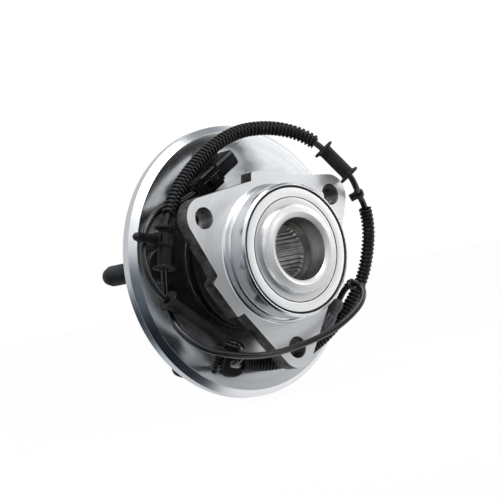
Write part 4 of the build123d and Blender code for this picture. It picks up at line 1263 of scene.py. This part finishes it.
# painted highlight: a lighter colour along the rib crests of the conduit
edge_wear_and_highlight(conduit_nylon, (0.042, 0.043, 0.048), 0.54, 0.64)
upper_conduit = conduit("upper_conduit_tube", (-70.9, 15.2, 39.1), (52.2, 1.6, 68.0), 4.8, 1.15, 2.9, 166.0)
side_conduit = conduit("side_conduit_tube", (84.0, 0.2, 17.8), (-31.4, 23.0, -67.4), 4.4, 1.05, 2.8, 150.0)
for tube, node in ((upper_conduit, "upper_conduit"), (side_conduit, "side_conduit")):
    paint(tube, conduit_nylon)
    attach(tube, "housing")
    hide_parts(node)

# ================================================================ spools and sleeve
# Rubber spools and a long sleeve moulded round the cable. Brackets on the vehicle grip
# them between their flanges.

spool_rubber = finish(
    "moulded_rubber", rough_skin, {"Grain": 1900.0, "Patches": 130.0},
    (0.006, 0.0063, 0.007), (0.014, 0.0145, 0.016), 0.42, 0.56, 0.014, specular=0.16,
)
# painted highlight: a lighter colour along the flange rims of the spools and the sleeve
edge_wear_and_highlight(spool_rubber, (0.040, 0.041, 0.045), 0.53, 0.62)
left_run = (Vector((-83.6, 15.2, 4.0)), Vector((-74.8, 15.0, 33.0)))
right_run = (Vector((55.4, -0.8, 63.7)), Vector((67.7, -9.5, 40.9)))
sleeve_run = (Vector((-52.0, 13.0, -46.3)), Vector((-88.5, 13.0, -14.5)))


def spool(name, run, first, length):
    """A moulded spool with a dished flange at each end, over a straight run of the cable."""
    made = turn(name, [
        (3.5, 0.35), (4.4, 0.0), (6.6, 0.0), (7.25, 0.25), (7.5, 0.75), (7.5, 1.35), (7.2, 1.8), (6.4, 2.05),
        (5.2, 2.3), (4.75, 2.9), (4.62, 4.0), (4.7, length / 2), (4.62, length - 4.0), (4.75, length - 2.9),
        (5.2, length - 2.3), (6.4, length - 2.05), (7.2, length - 1.8), (7.5, length - 1.35),
        (7.5, length - 0.75),
        (7.25, length - 0.25), (6.6, length), (4.4, length), (3.5, length - 0.35), (2.8, length - 3.0),
        (2.16, length - 6.5), (2.16, 6.5), (2.8, 3.0),
    ], 72)
    break_edges(made, 0.1)
    way = (run[1] - run[0]).normalized()
    return place_along(made, name, run[0] + way * first, way, (0.0, 1.0, 0.0))


left_spool = spool("left_rubber_spool", left_run, 0.2, 28.4)
right_spool = spool("right_rubber_spool", right_run, 0.6, 26.4)
sleeve = turn("sleeve", [
    (3.3, -4.3), (3.9, -4.0), (4.7, -2.9), (5.3, -1.3), (5.5, 0.4), (5.35, 2.2), (4.95, 4.2), (4.55, 6.2),
    (4.35, 8.5),
    (4.30, 24.0), (4.35, 43.4), (4.6, 44.6), (5.2, 45.3), (6.6, 45.6), (7.3, 45.9), (7.5, 46.4),
    (7.5, 46.9), (7.2, 47.4),
    (6.6, 47.6), (4.2, 47.6), (2.5, 47.35), (2.3, 46.6), (2.16, 41.2), (2.16, 3.0), (2.7, -1.0), (3.0, -3.6),
], 72)
break_edges(sleeve, 0.1)
sleeve_way = (sleeve_run[1] - sleeve_run[0]).normalized()
sleeve = place_along(sleeve, "long_rubber_sleeve", sleeve_run[0], sleeve_way, (0.0, 1.0, 0.0))
for made, node in ((left_spool, "left_spool"), (right_spool, "right_spool"), (sleeve, "long_sleeve")):
    paint(made, spool_rubber)
    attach(made, "housing")
    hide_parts(node)

# ================================================================ push-in clips
# Nylon clips whose barbed stems push into holes in the body panels: one is moulded on a
# band round the left spool and one hangs from the bulb of the sleeve.


def barbed_stem(name, fins, pitch=1.9):
    """A stem with flexible barbs that lean back towards its base, and a pointed tip."""
    corners = [(1.4, 0.0)]
    for i in range(fins):
        low = 0.25 + i * pitch
        corners += [(1.3, low), (3.05, low - 0.2), (3.3, low - 0.1), (3.3, low + 0.1), (1.35, low + 0.45)]
    top = fins * pitch
    corners += [(1.4, top), (2.6, top), (2.7, top + 0.4), (1.9, top + 1.5), (0.9, top + 2.4)]
    stem = turn_bar(name, corners, 40)
    break_edges(stem, 0.05)
    return stem


clip_nylon = finish(
    "clip_nylon", rough_skin, {"Grain": 1700.0, "Patches": 150.0},
    (0.006, 0.0063, 0.007), (0.014, 0.0145, 0.016), 0.32, 0.44, 0.010, specular=0.22,
)
left_axis = (left_run[1] - left_run[0]).normalized()
band_centre = left_run[0] + left_axis * 19.6
left_clip_way = Vector((-28.1, -3.9, 6.6)).normalized()
band = turn("band", [(4.7, -4.0), (5.7, -4.0), (6.0, -3.7), (6.0, 3.7), (5.7, 4.0), (4.7, 4.0)], 56)
break_edges(band, 0.1)
lug = block("lug", (4.2, -4.0, -3.2), (8.4, 4.0, 3.2), 0.4, 2)
cut(lug, block("window", (5.6, -2.6, -4.0), (7.4, 2.6, 4.0), 0.2, 2))
cut(lug, rod(4.75, -5.0, 5.0, (0.0, 0.0), 56))
smooth(lug, 35.0)
band = place_along(join("band", band, lug), "band", band_centre, left_axis, left_clip_way)
left_stem = barbed_stem("left_stem", 7, 2.45)
stem_start = band_centre + left_clip_way * 8.4
left_stem = place_along(left_stem, "left_stem", stem_start, left_clip_way, (0.0, 0.0, 1.0))
left_clip = join("left_clip", band, left_stem)
lower_clip_way = Vector((-14.7, -0.4, -21.0)).normalized()
bulb_way = -sleeve_way
clip_root = sleeve_run[0] + bulb_way * 3.2
foot = join(
    "foot", block("foot", (-3.5, 5.8, -3.6), (3.5, 8.2, 3.6), 0.5, 3), rod(1.7, 4.0, 6.5, (0.0, 0.0), 32),
    block("tongue", (-2.5, 5.8, 3.4), (2.5, 18.8, 4.6), 0.35, 3),
)
smooth(foot, 35.0)
lower_stem = barbed_stem("lower_stem", 7)
lower_stem.location = (0.0, 8.2 * mm, 0.0)
settle(lower_stem, "lower_stem")
lower_clip = place_along(
    join("lower_clip", foot, lower_stem), "lower_clip", clip_root, lower_clip_way,
    bulb_way.cross(lower_clip_way) * -1.0,
)
for made, node in ((left_clip, "left_push_clip"), (lower_clip, "lower_push_clip")):
    paint(made, clip_nylon)
    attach(made, "housing")
    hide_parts(node)

# ================================================================ cable ties
# Two nylon ties drawn tight round the cable, their locking heads to one side and their
# tails cut off.


def cable_tie(name, start, end, share, head_way):
    """A tie round a straight run of the cable."""
    start, end = Vector(start), Vector(end)
    way = (end - start).normalized()
    strap = turn("strap", [(2.4, -1.7), (3.3, -1.7), (3.5, -1.5), (3.5, 1.5), (3.3, 1.7), (2.4, 1.7)], 48)
    break_edges(strap, 0.08)
    case = block("case", (2.45, -1.7, -2.3), (6.55, 1.7, 2.3), 0.45, 3)
    cut(case, block("slot", (4.9, -1.1, -3.0), (5.8, 1.1, 3.0), 0.1, 1))
    tail = block("tail", (5.0, -1.0, 2.2), (5.7, 1.0, 2.3), 0.0)
    smooth(case, 35.0)
    return place_along(join("tie", strap, case, tail), name, start.lerp(end, share), way, head_way)


loop_tie = cable_tie("loop_tie", cable_stops[2], cable_stops[3], 0.5, (-0.93, -0.336, -0.141))
gap_tie = cable_tie("gap_tie", (71.3, -8.7, 34.0), (78.0, -3.0, 27.3), 0.85, (-0.735, 0.594, -0.327))
ties = join("ties", loop_tie, gap_tie)
paint(ties, clip_nylon)
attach(ties, "housing")
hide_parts("cable_ties")

# ================================================================ connector
# A two-way sealed connector in glass-filled nylon, with two tinned blades in its shroud,
# a rubber wire seal at the back and a slide that locks the mating half.

entry = Vector((-36.5, 24.0, 51.3))
connector_way = Vector((33.6, 0.0, 17.1)).normalized()
towards_wheel = (0.0, 1.0, 0.0)


def on_connector(piece, name):
    """Place a piece made along +Y, with +X towards the wheel, on the connector."""
    return place_along(piece, name, entry, connector_way, towards_wheel)


connector_nylon = finish(
    "connector_nylon", rough_skin, {"Grain": 1300.0, "Patches": 100.0},
    (0.004, 0.0043, 0.005), (0.010, 0.0105, 0.012), 0.34, 0.46, 0.010, specular=0.03,
)
# painted highlight: a lighter nylon for some corner facets of the hood, the ridge and a thin strip on the
# side, standing in for light caught on their edges
painted_highlight_nylon = finish(
    "painted_highlight_nylon", rough_skin, {"Grain": 1300.0, "Patches": 100.0},
    (0.050, 0.054, 0.064), (0.080, 0.086, 0.100), 0.30, 0.42, 0.010, specular=0.3,
)
body = block("body", (-5.5, 0.0, -6.0), (5.5, 19.4, 6.0), 1.1, 4)
skirt = block("skirt", (-5.0, -2.4, -5.5), (5.0, 1.0, 5.5), 0.9, 4)
cut(body, skirt, "UNION")
cut(body, rod(4.4, -3.0, 7.0, (0.0, 0.0), 48))
hood = block("hood", (-6.5, 19.0, -7.25), (6.5, 37.2, 4.4), 0.0)
bevel_sharp(hood, 2.5, 2, lambda at: True)
for vertex in hood.data.vertices:
    if abs(vertex.co.y / mm - 19.0) < 2.6:
        vertex.co.y = 19.0 * mm
cut(hood, block("cavity", (-5.1, 24.0, -5.85), (5.1, 39.0, 3.9), 0.9, 3))
collar = block("collar", (-6.1, 16.4, -6.8), (6.1, 19.8, 4.8), 0.6, 3)
latch = hull(
    "latch", *[rod(0.5, 0.0, 1.0, (x, z), 16) for x, z in ((-4.8, 4.0), (1.4, 4.0), (-4.8, 6.7), (1.4, 6.7))]
)
for vertex in latch.data.vertices:
    vertex.co.y = (3.0 if vertex.co.y < 0.0005 else (17.8 if vertex.co.z > 0.0055 else 19.2)) * mm
rails = []
for side, start in ((-1.0, 3.0), (1.0, 1.6)):
    low, high = sorted((side * 3.45, side * 4.75))
    rails.append(block("rail", (-7.5, start, low), (-5.3, 18.6, high), 0.25, 3))
for made in [body, hood, collar, latch] + rails:
    smooth(made, 35.0)
    paint(made, connector_nylon)
# painted highlight on the hood's corner facets
paint_faces(hood, painted_highlight_nylon, lambda at, normal: normal.x < -0.4 and normal.z < -0.3)
# the ridge and a thin strip along the side carry painted highlight lines
ridge = block("ridge", (-6.4, 2.6, -6.9), (-5.0, 16.6, -5.6), 0.3, 3)
highlight_strip = block("highlight_strip", (-7.2, 1.6, -2.45), (-6.4, 18.9, -2.1), 0.1, 1)
for made in (ridge, highlight_strip):
    paint(made, painted_highlight_nylon)
shell = on_connector(join("shell", body, hood, collar, latch, ridge, highlight_strip, *rails), "connector_shell")
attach(shell, "housing")
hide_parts("connector_housing")

wire_seal = turn("wire_seal", [
    (4.1, -2.5), (4.3, -2.2), (4.3, -1.5), (3.9, -1.2), (3.9, -0.8), (4.3, -0.5), (4.38, 0.5), (4.38, 6.9),
    (2.5, 6.9),
    (2.25, 4.0), (2.25, -1.6), (2.7, -2.5),
], 56)
break_edges(wire_seal, 0.08)
wire_seal = on_connector(wire_seal, "wire_seal")
grey_rubber = finish(
    "grey_rubber", rough_skin, {"Grain": 1700.0, "Patches": 130.0},
    (0.020, 0.022, 0.026), (0.045, 0.048, 0.055), 0.45, 0.60, 0.012, specular=0.3,
)
paint(wire_seal, grey_rubber)
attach(wire_seal, "housing")
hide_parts("connector_seal")

blades = []
for side in (-2.5, 2.5):
    blade = block("blade", (-0.4, 7.0, side - 1.2), (0.4, 33.0, side + 1.2), 0.0)
    bevel_sharp(blade, 0.3, 2, lambda at: at.y > 32.9)
    blades.append(blade)
blades = on_connector(join("blades", *blades), "blades")
tin = finish(
    "tinned_brass", rough_skin, {"Grain": 2400.0, "Patches": 200.0},
    (0.62, 0.60, 0.55), (0.74, 0.72, 0.67), 0.18, 0.30, 0.003, 1.0,
)
paint(blades, tin)
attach(blades, "housing")
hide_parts("connector_terminals")

slide = block("slide", (-6.78, 7.0, -3.3), (-5.58, 15.5, 3.3), 0.2, 2)
grip = block("grip", (-7.5, 7.0, -2.6), (-6.3, 8.6, 2.6), 0.25, 2)
for made in (slide, grip):
    smooth(made, 35.0)
slide = on_connector(join("slide", slide, grip), "locking_slide")
paint(slide, connector_nylon)
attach(slide, "lock")
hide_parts("connector_lock")

# ================================================================ cable run
# The jacket is smooth and dark, and the conduits, rubber parts, clips, ties and connector
# ride on it from the sensor boot to its far end.

jacket = finish(
    "cable_jacket", rough_skin, {"Grain": 2600.0, "Patches": 60.0},
    (0.004, 0.0042, 0.0048), (0.008, 0.0082, 0.009), 0.15, 0.22, 0.006, specular=0.5,
)
sensor_cable.data.materials.append(jacket)
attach(sensor_cable, "housing")
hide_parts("sensor_cable")
